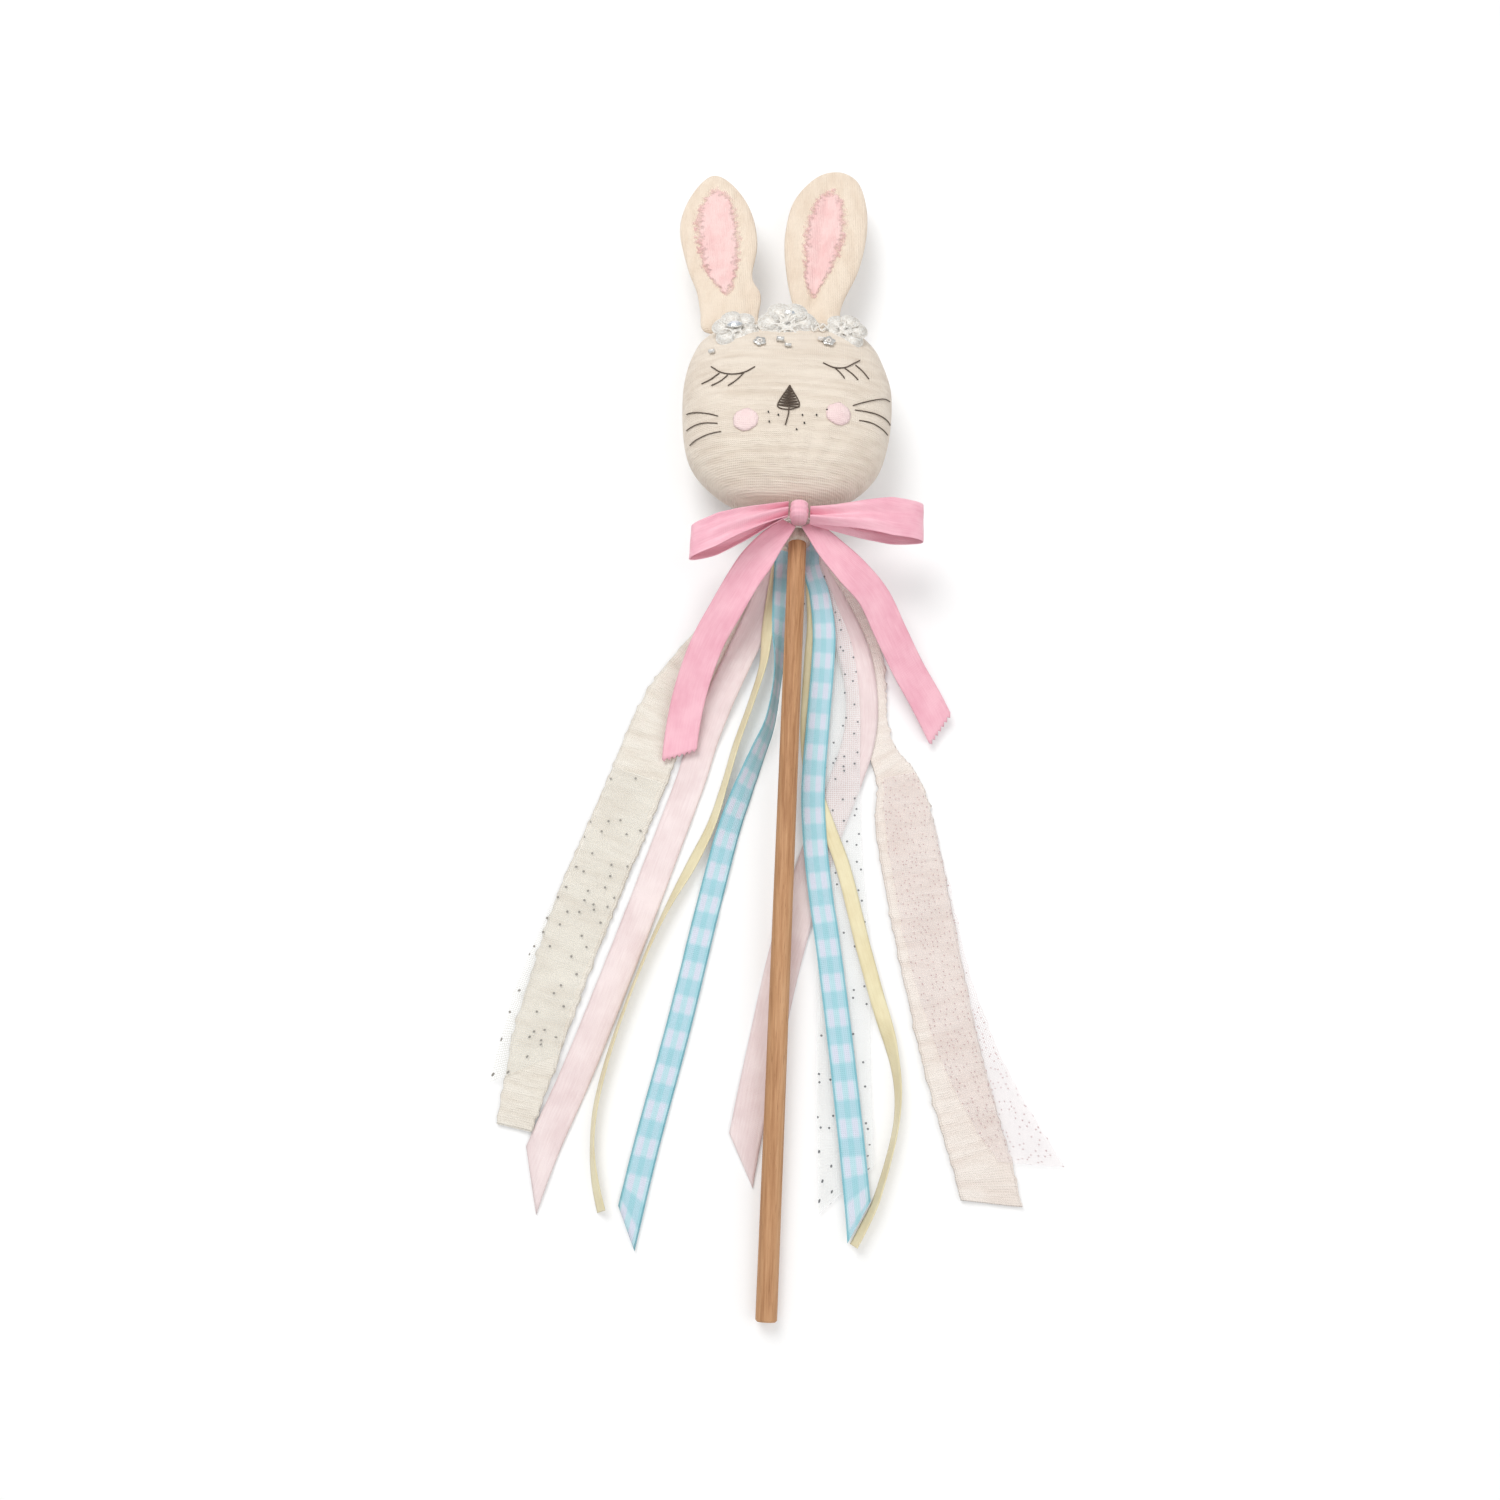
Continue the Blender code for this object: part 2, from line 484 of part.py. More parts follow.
# --- Ears ------------------------------------------------------------------------
def make_ear(side, outline, patch, cloth, pink, wadding, head_cutter):
    """Front and back cloth with wadding between, and a root sewn into the head."""
    hinge_y = HEAD_Y + HEAD_HEIGHT / 2 + EAR_HINGE_ABOVE
    lift = hinge_y - outline[0][1]
    edge = smooth_curve([(x, y + lift) for x, y in outline], 2, closed=False)
    total = 2 * EAR_CLOTH + EAR_WADDING + 2 * GAP
    low = HEAD_Z - total / 2
    layers = [("back", low, EAR_CLOTH, cloth), ("wadding", low + EAR_CLOTH + GAP, EAR_WADDING, wadding),
              ("front", low + EAR_CLOTH + EAR_WADDING + 2 * GAP, EAR_CLOTH, cloth)]
    for layer, z, thickness, material in layers:
        build = plate(edge, z, z + thickness)
        plane_cut(build, (0, hinge_y + GAP / 2, 0), (0, -1, 0))
        droop(build, hinge_y)
        finish(f"ear_{side}_{layer}", build, material)
    inner_edge = smooth_curve([(x, y + lift) for x, y in patch], 2, closed=True)
    build = plate(inner_edge, low + total + GAP, low + total + GAP + PATCH_THICKNESS)
    droop(build, hinge_y)
    finish(f"ear_{side}_patch", build, pink)
    left, right = edge[0][0], edge[-1][0]
    shorter = [(left, hinge_y - GAP / 2), (right, hinge_y - GAP / 2),
               (right, hinge_y - 20.0), (left, hinge_y - 20.0)]
    root = finish(f"ear_{side}_root", plate(shorter, low, low + total), cloth, smooth=False)
    carve(root, head_cutter)


def droop(build, hinge_y):
    for vert in build.verts:
        vert.co.z -= EAR_DROOP * (vert.co.y - hinge_y)


# --- Trims on the face ------------------------------------------------------------
def head_normal(x, y):
    step = 0.5
    slope_x = (head_height(x + step, y) - head_height(x - step, y)) / (2 * step)
    slope_y = (head_height(x, y + step) - head_height(x, y - step)) / (2 * step)
    return Vector((-slope_x, -slope_y, 1.0)).normalized()


def seat_on_head(build, x, y, lift):
    """Turn a flat shape onto the head's surface at a place, a lift above it."""
    normal = head_normal(x, y)
    upright = Vector((0, 1, 0))
    y_axis = (upright - normal * normal.dot(upright)).normalized()
    x_axis = y_axis.cross(normal)
    for vert in build.verts:
        place = vert.co.copy()
        vert.co = (Vector((x, y, head_height(x, y))) + normal * (place.z + lift)
                   + x_axis * place.x + y_axis * place.y)


def lobed(radius, lobes, depth, sides):
    """Outline of a flower: a circle with a number of round lobes."""
    outline = []
    for k in range(sides):
        angle = 2 * math.pi * k / sides
        r = radius * (1 - depth * (0.5 - 0.5 * math.cos(lobes * angle)))
        outline.append((r * math.cos(angle), r * math.sin(angle)))
    return outline


def make_trims(lace, crystal, silver, pink, brown):
    for name, (x, y, radius, layer) in FLOWERS.items():
        build = plate(lobed(radius, 8, 0.16, 48), 0.0, LACE_THICKNESS)
        seat_on_head(build, x, y, GAP + layer * (LACE_THICKNESS + GAP))
        finish(name, build, lace)
    for name, (flower, half_length, half_width, turn) in CRYSTALS.items():
        x, y, _, layer = FLOWERS[flower]
        build = bmesh.new()
        bmesh.ops.create_uvsphere(build, u_segments=16, v_segments=8, radius=1.0)
        plane_cut(build, (0, 0, 0), (0, 0, -1))
        spin = math.radians(turn)
        for vert in build.verts:
            u, v, w = vert.co
            vert.co = (u * half_length * math.cos(spin) - v * half_width * math.sin(spin),
                       u * half_length * math.sin(spin) + v * half_width * math.cos(spin),
                       w * CRYSTAL_HEIGHT)
        seat_on_head(build, x, y, GAP + (layer + 1) * (LACE_THICKNESS + GAP))
        finish(name, build, crystal)
    for name, (x, y) in SEQUINS.items():
        build = plate(lobed(SEQUIN_RADIUS, 5, 0.2, 30), 0.0, SEQUIN_THICKNESS)
        seat_on_head(build, x, y, GAP)
        finish(name, build, silver)
    build = bmesh.new()
    bmesh.ops.create_uvsphere(build, u_segments=12, v_segments=8, radius=BEAD_RADIUS)
    seat_on_head(build, *BEAD_PLACE, GAP + BEAD_RADIUS)
    finish("bead_center", build, silver)
    for name, (x, y) in CHEEKS.items():
        build = plate(lobed(CHEEK_RADIUS, 1, 0.0, 28), 0.0, CHEEK_THICKNESS)
        seat_on_head(build, x, y, GAP)
        finish(name, build, pink)
    nose = [(-NOSE_SIZE, -NOSE_SIZE * 0.8), (0.0, NOSE_SIZE * 1.2), (NOSE_SIZE, -NOSE_SIZE * 0.8)]
    build = plate(nose, 0.0, NOSE_THICKNESS)
    seat_on_head(build, *NOSE_PLACE, GAP)
    finish("nose", build, brown, smooth=False)


# --- Bow ---------------------------------------------------------------------------
def make_bow(satin):
    bpy.ops.mesh.primitive_cube_add(size=1.0)
    knot = bpy.context.object
    knot.name = knot.data.name = "bow_knot"
    for vert in knot.data.vertices:
        vert.co = Vector((vert.co.x * KNOT_WIDTH,
                          vert.co.y * KNOT_LENGTH + NECK_Y,
                          (vert.co.z + 0.5) * KNOT_HEIGHT + KNOT_SEAT)) * MM
    rounding = knot.modifiers.new("round", "BEVEL")
    rounding.width = 2.0 * MM
    rounding.segments = 3
    knot.data.materials.append(satin)
    middle = KNOT_SEAT + KNOT_HEIGHT / 2
    for side, start, loop in (("left", -1, LOOP_LEFT), ("right", 1, LOOP_RIGHT)):
        turn = math.radians(loop["turn"])
        out = Vector((math.cos(turn), math.sin(turn), 0.0))
        across = Vector((-out.y, out.x, 0.0))
        root_width = loop["width"] * LOOP_PINCH
        clear = KNOT_WIDTH / 2 + GAP + abs(across.x) * root_width / 2
        root = Vector((start * clear, NECK_Y, middle))
        run = smooth_curve(LOOP_RUN, 3)
        places = [root + out * (s * loop["length"])
                  + Vector((0, 0, h * LOOP_HALF_HEIGHT)) for s, h in run]
        sections = []
        for i, place in enumerate(places):
            along = (places[min(i + 1, len(places) - 1)] - places[max(i - 1, 0)]).normalized()
            normal = across.cross(along).normalized()
            share = run[i][0]
            width = loop["width"] * (LOOP_PINCH + (1 - LOOP_PINCH) * min(1.0, share * 2.5))
            sections.append([place + across * (a * width / 2) + normal * (b * SATIN / 2)
                             for a, b in ((-1, -1), (1, -1), (1, 1), (-1, 1))])
        finish(f"bow_loop_{side}", strip(sections), satin)


def make_tails(satin):
    for side, route, tip in (("left", TAIL_LEFT, ((-39.0, -44.0), (-55.0, -50.0))),
                             ("right", TAIL_RIGHT, ((70.0, -22.0), (60.5, -37.0)))):
        hinge = HINGE_Y[f"tail_{side}"]
        ribbon(f"tail_{side}_root", route, SATIN, satin, above=hinge)
        ribbon(f"tail_{side}", route, SATIN, satin, below=hinge, cuts=[tip])


# --- Ribbons -------------------------------------------------------------------------
def make_streamers(muslin, muslin_pink, tulle, glitter, mesh, blush, yellow, gingham):
    h = HINGE_Y
    ribbon("muslin_left_root", MUSLIN_LEFT, MUSLIN, muslin, above=h["muslin_left"])
    ribbon("muslin_left", MUSLIN_LEFT, MUSLIN, muslin, below=h["muslin_left"])
    ribbon("tulle_left", TULLE_LEFT, TULLE, tulle,
           below=h["muslin_left"], above=h["tulle_left_end"])
    ribbon("tulle_left_end", TULLE_LEFT, TULLE, tulle, below=h["tulle_left_end"],
           cuts=[((-86.0, -174.0), (-112.0, -187.0))])
    ribbon("blush_left_root", BLUSH_LEFT, RIBBON, blush, above=h["blush_left"])
    ribbon("blush_left", BLUSH_LEFT, RIBBON, blush, below=h["blush_left"],
           cuts=[((-90.1, -229.8), (-95.2, -210.6))])
    ribbon("yellow_left_root", YELLOW_LEFT, RIBBON, yellow, above=h["yellow_left"])
    ribbon("yellow_left", YELLOW_LEFT, RIBBON, yellow, below=h["yellow_left"])
    ribbon("gingham_left_root", GINGHAM_LEFT, RIBBON, gingham, above=h["gingham_left"],
           steps=9)
    ribbon("gingham_left", GINGHAM_LEFT, RIBBON, gingham, below=h["gingham_left"],
           cuts=[((-51.2, -243.0), (-57.4, -230.0))], steps=9)
    ribbon("blush_mid", BLUSH_MID, RIBBON, blush, above=h["blush_mid_end"])
    ribbon("blush_mid_end", BLUSH_MID, RIBBON, blush, below=h["blush_mid_end"],
           cuts=[((-9.0, -218.5), (-18.0, -201.0))])
    bundle = h["streamers_right"]
    ribbon("mesh_right_root", MESH_RIGHT, TULLE, mesh, above=bundle)
    ribbon("mesh_right", MESH_RIGHT, TULLE, mesh, below=bundle,
           cuts=[((38.7, -209.3), (18.5, -227.0))])
    ribbon("yellow_right_root", YELLOW_RIGHT, RIBBON, yellow, above=bundle)
    ribbon("yellow_right", YELLOW_RIGHT, RIBBON, yellow, below=bundle,
           above=h["yellow_right_end"])
    ribbon("yellow_right_end", YELLOW_RIGHT, RIBBON, yellow, below=h["yellow_right_end"])
    ribbon("gingham_right_root", GINGHAM_RIGHT, RIBBON, gingham, above=bundle)
    ribbon("gingham_right", GINGHAM_RIGHT, RIBBON, gingham, below=bundle,
           above=h["gingham_right_end"])
    ribbon("gingham_right_end", GINGHAM_RIGHT, RIBBON, gingham, below=h["gingham_right_end"],
           cuts=[((37.3, -221.6), (28.9, -236.8))])
    ribbon("muslin_right_root", MUSLIN_RIGHT, MUSLIN, muslin_pink, above=h["muslin_right"])
    ribbon("muslin_right", MUSLIN_RIGHT, MUSLIN, muslin_pink, below=h["muslin_right"],
           cuts=[((94.0, -221.0), (71.0, -219.5))])
    ribbon("glitter_right", GLITTER_RIGHT, TULLE, glitter,
           below=h["muslin_right"], above=h["glitter_right_end"])
    ribbon("glitter_right_end", GLITTER_RIGHT, TULLE, glitter, below=h["glitter_right_end"],
           cuts=[((114.5, -205.5), (90.0, -204.5))])


def main():
    clear_scene()
    wood = make_material("wood", (0.47, 0.27, 0.13), 0.6)
    linen = make_material("linen", (0.80, 0.70, 0.62), 0.9)
    pink = make_material("pink_cloth", (0.88, 0.68, 0.65), 0.9)
    filling = make_material("filling", (0.92, 0.92, 0.90), 1.0)
    thread = make_material("thread", (0.90, 0.86, 0.80), 0.8)
    lace = make_material("lace", (0.93, 0.92, 0.90), 0.85)
    crystal = make_material("crystal", (0.80, 0.82, 0.85), 0.1, metallic=0.6)
    silver = make_material("silver", (0.72, 0.70, 0.66), 0.3, metallic=0.7)
    brown = make_material("brown_thread", (0.07, 0.05, 0.03), 0.8)
    satin = make_material("satin", (0.88, 0.52, 0.57), 0.35)
    muslin = make_material("muslin", (0.82, 0.76, 0.68), 0.95)
    muslin_pink = make_material("muslin_pink", (0.80, 0.69, 0.63), 0.95)
    tulle = make_material("tulle", (0.80, 0.79, 0.76), 0.8, alpha=0.5)
    glitter = make_material("glitter_tulle", (0.84, 0.74, 0.76), 0.6, alpha=0.6)
    net = make_material("net", (0.86, 0.87, 0.86), 0.8, alpha=0.5)
    blush = make_material("blush", (0.82, 0.70, 0.70), 0.5)
    yellow = make_material("yellow", (0.80, 0.73, 0.45), 0.5)
    gingham = make_material("gingham", (0.50, 0.70, 0.76), 0.6)

    make_rod("dowel", STICK_RADIUS, STICK_END_Y, STICK_TOP_Y, STICK_BEVEL, wood)
    stick_cutter = make_rod("stick_cutter", STICK_RADIUS + GAP, HEAD_BOTTOM_Y - 20.0,
                            STICK_TOP_Y + GAP, 0.01, wood)
    hide_cutter(stick_cutter)
    grown = [(HEAD_X + u * (HEAD_WIDTH / 2 + GAP), HEAD_Y + v * (HEAD_HEIGHT / 2 + GAP))
             for u, v in HEAD_EDGE]
    head_cutter = finish("head_cutter", plate(grown, -5.0, HEAD_DEPTH + 5.0), linen)
    hide_cutter(head_cutter)

    head_panel("head_front", 1, linen, stick_cutter)
    head_panel("head_back", -1, linen, stick_cutter)
    make_stuffing(filling, stick_cutter)
    make_ear("left", EAR_LEFT, PATCH_LEFT, linen, pink, filling, head_cutter)
    make_ear("right", EAR_RIGHT, PATCH_RIGHT, linen, pink, filling, head_cutter)
    make_trims(lace, crystal, silver, pink, brown)
    tube("neck_gather", STICK_RADIUS + GAP, NECK_RADIUS, NECK_Y - 7.5,
         HEAD_BOTTOM_Y - GAP, linen)
    tube("neck_thread", NECK_RADIUS + GAP, THREAD_RADIUS, NECK_Y - THREAD_LENGTH / 2,
         NECK_Y + THREAD_LENGTH / 2, thread)
    make_bow(satin)
    make_tails(satin)
    make_streamers(muslin, muslin_pink, tulle, glitter, net, blush, yellow, gingham)


main()
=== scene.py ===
# %% [markdown]
# # Ribbon wand with a stuffed rabbit head
#
# The wand lies on its back: a wooden stick, a stuffed gauze head with two ears and a lace
# crown, a satin bow, and a bundle of ribbons. The solid model is loaded first. It fixes every
# size and joint, and the cells below put cloth, thread and finish on it.

# %% Load the solid model
import math

import bmesh
import bpy
from mathutils import Matrix, Vector, noise
from mathutils.geometry import tessellate_polygon


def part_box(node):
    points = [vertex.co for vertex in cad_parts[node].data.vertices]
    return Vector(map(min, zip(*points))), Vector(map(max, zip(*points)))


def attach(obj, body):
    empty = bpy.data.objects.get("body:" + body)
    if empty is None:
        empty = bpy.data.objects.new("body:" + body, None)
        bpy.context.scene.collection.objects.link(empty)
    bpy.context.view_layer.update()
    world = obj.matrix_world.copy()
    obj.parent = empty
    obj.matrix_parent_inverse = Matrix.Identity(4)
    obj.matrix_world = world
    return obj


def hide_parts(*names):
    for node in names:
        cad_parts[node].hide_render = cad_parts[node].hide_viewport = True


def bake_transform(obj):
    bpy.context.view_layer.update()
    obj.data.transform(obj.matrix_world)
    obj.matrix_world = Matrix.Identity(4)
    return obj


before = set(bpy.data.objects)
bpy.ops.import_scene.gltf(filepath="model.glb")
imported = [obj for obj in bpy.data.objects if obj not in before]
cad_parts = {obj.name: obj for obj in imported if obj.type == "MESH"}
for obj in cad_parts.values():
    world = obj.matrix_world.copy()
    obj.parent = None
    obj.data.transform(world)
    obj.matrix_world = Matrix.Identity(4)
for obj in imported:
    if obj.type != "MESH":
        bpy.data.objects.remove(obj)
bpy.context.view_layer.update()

MM = 0.001

# %% [markdown]
# ## Camera
#
# The wand is seen from above and a little from its foot end. A camera that looks straight down
# (its unturned direction) is tilted about X, then turned about Z, because the stick leans a
# little in its view. Its place follows from the floor point that it aims at.

# %% Camera
CAMERA_AIM = Vector((-16.6, -41.0, 0.0)) * MM
CAMERA_DISTANCE = 0.518
CAMERA_TILT = math.radians(19.8)
CAMERA_TURN = math.radians(2.75)
CAMERA_LENS = 28.8

camera_data = bpy.data.cameras.new("camera")
camera_data.lens = CAMERA_LENS
camera_data.sensor_width = 36.0
camera_data.clip_start = 0.01
camera = bpy.data.objects.new("camera", camera_data)
bpy.context.scene.collection.objects.link(camera)
camera.rotation_euler = (CAMERA_TILT, 0.0, CAMERA_TURN)
look = camera.rotation_euler.to_matrix() @ Vector((0.0, 0.0, -1.0))
camera.location = CAMERA_AIM - look * CAMERA_DISTANCE
bpy.context.scene.camera = camera
print("camera stands", round(camera.location.z, 3), "m over the floor")

# %% [markdown]
# ## Helpers for routes and cloth strips
#
# Every ribbon is a strip swept along a smooth curve through a few given points. Each
# point is (x, y, height, width, roll): roll stands the ribbon on its edge. Heights of stacked
# ribbons come from one shared rumple field, so that a ribbon follows the one beneath it.

# %% Smooth curves
def smooth(points, steps, closed=False):
    """Catmull-Rom curve through the points, as vectors of any length."""
    count = len(points)
    curve = []
    for i in range(count if closed else count - 1):
        ends = [i - 1, i, i + 1, i + 2]
        ends = [k % count for k in ends] if closed else [min(max(k, 0), count - 1) for k in ends]
        p0, p1, p2, p3 = (points[k] for k in ends)
        for step in range(steps):
            t = step / steps
            curve.append(tuple(
                0.5 * (2 * b + (c - a) * t + (2 * a - 5 * b + 4 * c - d) * t * t
                       + (3 * b - a - 3 * c + d) * t ** 3) for a, b, c, d in zip(p0, p1, p2, p3)))
    if not closed:
        curve.append(tuple(points[-1]))
    return curve


def fractal(x, y, seed=0.0, octaves=3):
    """Soft noise from -1 to 1 over a plane, in steps of about one unit."""
    value, size, total = 0.0, 1.0, 0.0
    for k in range(octaves):
        value += size * noise.noise(Vector((x * 2 ** k, y * 2 ** k, seed + 7.3 * k)))
        total += size
        size *= 0.5
    return value / total


def rumple(x, y, height):
    """Upward rumple of a cloth strip: low ridges that run across it."""
    ridge = fractal(x / 26.0, y / 7.5, 3.1) + 0.5 * fractal(x / 9.0, y / 9.0, 8.7)
    return height * max(0.0, 0.45 + ridge)


# %% [markdown]
# A strip is a grid of points on both sides of its route. It can be torn, pinked, curled or
# cut at a slant.

# %% Strips of cloth
def mesh_object(name, verts, faces, uvs, material):
    mesh = bpy.data.meshes.new(name)
    mesh.from_pydata([tuple(v) for v in verts], [], faces)
    layer = mesh.uv_layers.new(name="cloth")
    for loop in mesh.loops:
        layer.data[loop.index].uv = uvs[loop.vertex_index]
    mesh.materials.append(material)
    mesh.shade_smooth()
    piece = bpy.data.objects.new(name, mesh)
    bpy.context.scene.collection.objects.link(piece)
    return piece


def grid_faces(rows, columns, closed=False):
    """Quads of a grid of points that has so many rows and columns of points."""
    return [(r * columns + k, r * columns + (k + 1) % columns,
             (r + 1) * columns + (k + 1) % columns, (r + 1) * columns + k)
            for r in range(rows - 1) for k in range(columns if closed else columns - 1)]


def end_caps(rows, sides):
    """Faces that close the first and the last row of a closed grid."""
    return [tuple(range(sides))[::-1], tuple(range((rows - 1) * sides, rows * sides))]


def in_cm(verts):
    """A flat map of points in metres, read from above, in centimetres."""
    return [(v[0] * 100, v[1] * 100) for v in verts]


def sew_on(piece, finish, *nodes):
    """Fix a piece to the wand, in place of these solids."""
    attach(piece, "wand")
    if nodes:
        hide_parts(*nodes)
    return piece


def apply_modifier(piece, kind, **values):
    """Add a modifier, set it and apply it, with nothing else selected."""
    bpy.ops.object.select_all(action="DESELECT")
    bpy.context.view_layer.objects.active = piece
    piece.select_set(True)
    modifier = piece.modifiers.new(kind.lower(), kind)
    for key, value in values.items():
        setattr(modifier, key, value)
    bpy.ops.object.modifier_apply(modifier=modifier.name)


def strip(name, route, material, thickness, columns=6, steps=8, start_y=None, end_y=None,
          cut=None, pinked=0.0, ragged=0.0, wave=0.0, curl=0.0, rise=0.0, seed=0.0,
          solid=True):
    """A strip of cloth along a route in millimetres. It returns the piece, its length, its
    mean width and its centreline, in metres."""
    curve = smooth(route, steps)
    travelled, lengths = 0.0, [0.0]
    for a, b in zip(curve, curve[1:]):
        travelled += (Vector(b[:3]) - Vector(a[:3])).length
        lengths.append(travelled)
    end_slope = 0.0
    if cut is not None:
        (ax, ay), (bx, by) = cut
        end_y = (ay + by) / 2
        close = min(range(1, len(curve)), key=lambda i: abs(curve[i][1] - end_y))
        way = (Vector(curve[close][:2]) - Vector(curve[close - 1][:2])).normalized()
        across_cut = (bx - ax) * -way.y + (by - ay) * way.x
        end_slope = ((bx - ax) * way.x + (by - ay) * way.y) / across_cut
    keep = [i for i, p in enumerate(curve)
            if (start_y is None or p[1] <= start_y) and (end_y is None or p[1] >= end_y)]
    first, last = keep[0], keep[-1]
    if start_y is not None:
        first = max(0, first - 1)
    verts, uvs, centre, area = [], [], [], 0.0
    total = lengths[last]
    for i in range(first, last + 1):
        x, y, z, width, roll = curve[i]
        before, after = curve[max(i - 1, 0)], curve[min(i + 1, len(curve) - 1)]
        along = (Vector(after[:3]) - Vector(before[:3])).normalized()
        side = Vector((-along.y, along.x, 0.0)).normalized()
        turn = math.radians(roll)
        across = side * math.cos(turn) + Vector((0, 0, 1)) * math.sin(turn)
        normal = across.cross(along).normalized()
        if normal.z < 0:
            normal.negate()
        flatness = math.cos(turn) ** 2
        lift = abs(math.sin(turn)) * width / 2 + thickness / 2
        near_end = max(0.0, 1.0 - (total - lengths[i]) / 18.0)
        middle = Vector((x, y, max(z, 0.0) + lift + rise))
        centre.append(middle * MM)
        if i < last:
            area += width * (lengths[i + 1] - lengths[i])
        for k in range(columns + 1):
            share = 2.0 * k / columns - 1.0
            reach = share * width / 2
            if ragged and abs(share) > 0.6:
                tooth = (fractal(lengths[i] / 7.0, share * 2.0, seed + 2.0)
                         + 0.6 * fractal(lengths[i] / 2.2, share * 2.0, seed + 4.0))
                reach += math.copysign(ragged * tooth * (abs(share) - 0.6) / 0.4, share)
            spot = middle + across * reach
            if wave:
                spot += normal * (rumple(spot.x, spot.y, wave) * flatness)
            if curl:
                bend = fractal(lengths[i] / 40.0, 0.5 * share, seed + 5.0)
                spot += normal * (curl * share * share * (0.6 + bend) * flatness)
            spot += along * (near_end * end_slope * share * width / 2)
            if pinked and i == last:
                spot += along * (pinked if k % 2 else -pinked)
            verts.append(spot * MM)
            uvs.append(((share + 1) / 2 * width * 0.1, lengths[i] * 0.1))
    faces = grid_faces(last - first + 1, columns + 1)
    piece = mesh_object(name, verts, faces, uvs, material)
    face_up(piece)
    if solid:
        apply_modifier(piece, "SOLIDIFY", thickness=thickness * MM, offset=0.0)
    length = (total - lengths[first]) * MM
    return piece, length, area * MM * MM / length, centre


def face_up(piece):
    """Turn an open strip's faces so that most look up."""
    build = bmesh.new()
    build.from_mesh(piece.data)
    build.normal_update()
    if sum(face.normal.z * face.calc_area() for face in build.faces) < 0:
        bmesh.ops.reverse_faces(build, faces=build.faces)
    build.to_mesh(piece.data)
    build.free()


# %% [markdown]
# ## Finishes
#
# Each cloth gets its own node material. Weaves follow the strip's own UV map, in centimetres,
# so that they turn and bend with the ribbon. The head's gauze and the wood read Object
# coordinates, which are metres here. Sheer cloths are holes as well as threads: their alpha
# comes from a fine net pattern.

# %% Node helpers
def linear(red, green, blue):
    """A colour from 0 to 255 a channel, made linear."""
    return tuple(((c / 255 + 0.055) / 1.055) ** 2.4 if c > 10 else c / 255 / 12.92
                 for c in (red, green, blue)) + (1.0,)


class Nodes:
    """A small wrapper that adds and links nodes of one material."""

    def __init__(self, name, roughness=0.8, metallic=0.0):
        self.material = bpy.data.materials.new(name)
        self.material.use_nodes = True
        self.tree = self.material.node_tree
        self.shader = self.tree.nodes["Principled BSDF"]
        self.shader.inputs["Roughness"].default_value = roughness
        self.shader.inputs["Metallic"].default_value = metallic

    def add(self, kind, **values):
        node = self.tree.nodes.new(kind)
        for key, value in values.items():
            setattr(node, key, value)
        return node

    def link(self, output, target):
        self.tree.links.new(output, target)

    def coordinates(self, source, scale):
        """Texture coordinates of one kind, scaled by a Mapping node."""
        coord = self.add("ShaderNodeTexCoord")
        mapping = self.add("ShaderNodeMapping")
        mapping.inputs["Scale"].default_value = scale
        self.link(coord.outputs[source], mapping.inputs["Vector"])
        return mapping.outputs["Vector"]

    def math(self, operation, a, b=None, c=None):
        node = self.add("ShaderNodeMath", operation=operation)
        for socket, value in zip(node.inputs, (a, b, c)):
            if value is None:
                continue
            if isinstance(value, (int, float)):
                socket.default_value = value
            else:
                self.link(value, socket)
        return node.outputs[0]

    def noise(self, vector, scale, detail=4.0, roughness=0.55):
        node = self.add("ShaderNodeTexNoise")
        node.inputs["Scale"].default_value = scale
        node.inputs["Detail"].default_value = detail
        node.inputs["Roughness"].default_value = roughness
        self.link(vector, node.inputs["Vector"])
        return node.outputs["Fac"]

    def ramp(self, factor, *stops):
        node = self.add("ShaderNodeValToRGB")
        while len(node.color_ramp.elements) < len(stops):
            node.color_ramp.elements.new(0.5)
        for element, (position, color) in zip(node.color_ramp.elements, stops):
            element.position = position
            element.color = color
        self.link(factor, node.inputs["Fac"])
        return node.outputs["Color"]

    def mix(self, factor, a, b, blend="MIX"):
        node = self.add("ShaderNodeMix", data_type="RGBA", blend_type=blend)
        for socket, value in ((node.inputs["Factor"], factor), (node.inputs["A"], a),
                              (node.inputs["B"], b)):
            if isinstance(value, (int, float, tuple)):
                socket.default_value = value
            else:
                self.link(value, socket)
        return node.outputs["Result"]

    def bump(self, height, distance, strength=1.0):
        node = self.add("ShaderNodeBump")
        node.inputs["Distance"].default_value = distance
        node.inputs["Strength"].default_value = strength
        self.link(height, node.inputs["Height"])
        self.link(node.outputs["Normal"], self.shader.inputs["Normal"])

    def weave(self, vector, threads):
        """Height of a plain weave with so many threads to one unit of the coordinates."""
        split = self.add("ShaderNodeSeparateXYZ")
        self.link(vector, split.inputs[0])
        turn = 2 * math.pi * threads
        warp = self.math("SINE", self.math("MULTIPLY", split.outputs[0], turn))
        weft = self.math("SINE", self.math("MULTIPLY", split.outputs[1], turn))
        return self.math("MULTIPLY_ADD", warp, 0.5, self.math("MULTIPLY", weft, 0.5))

    def color(self, value):
        if isinstance(value, tuple):
            self.shader.inputs["Base Color"].default_value = value
        else:
            self.link(value, self.shader.inputs["Base Color"])
        return self.material
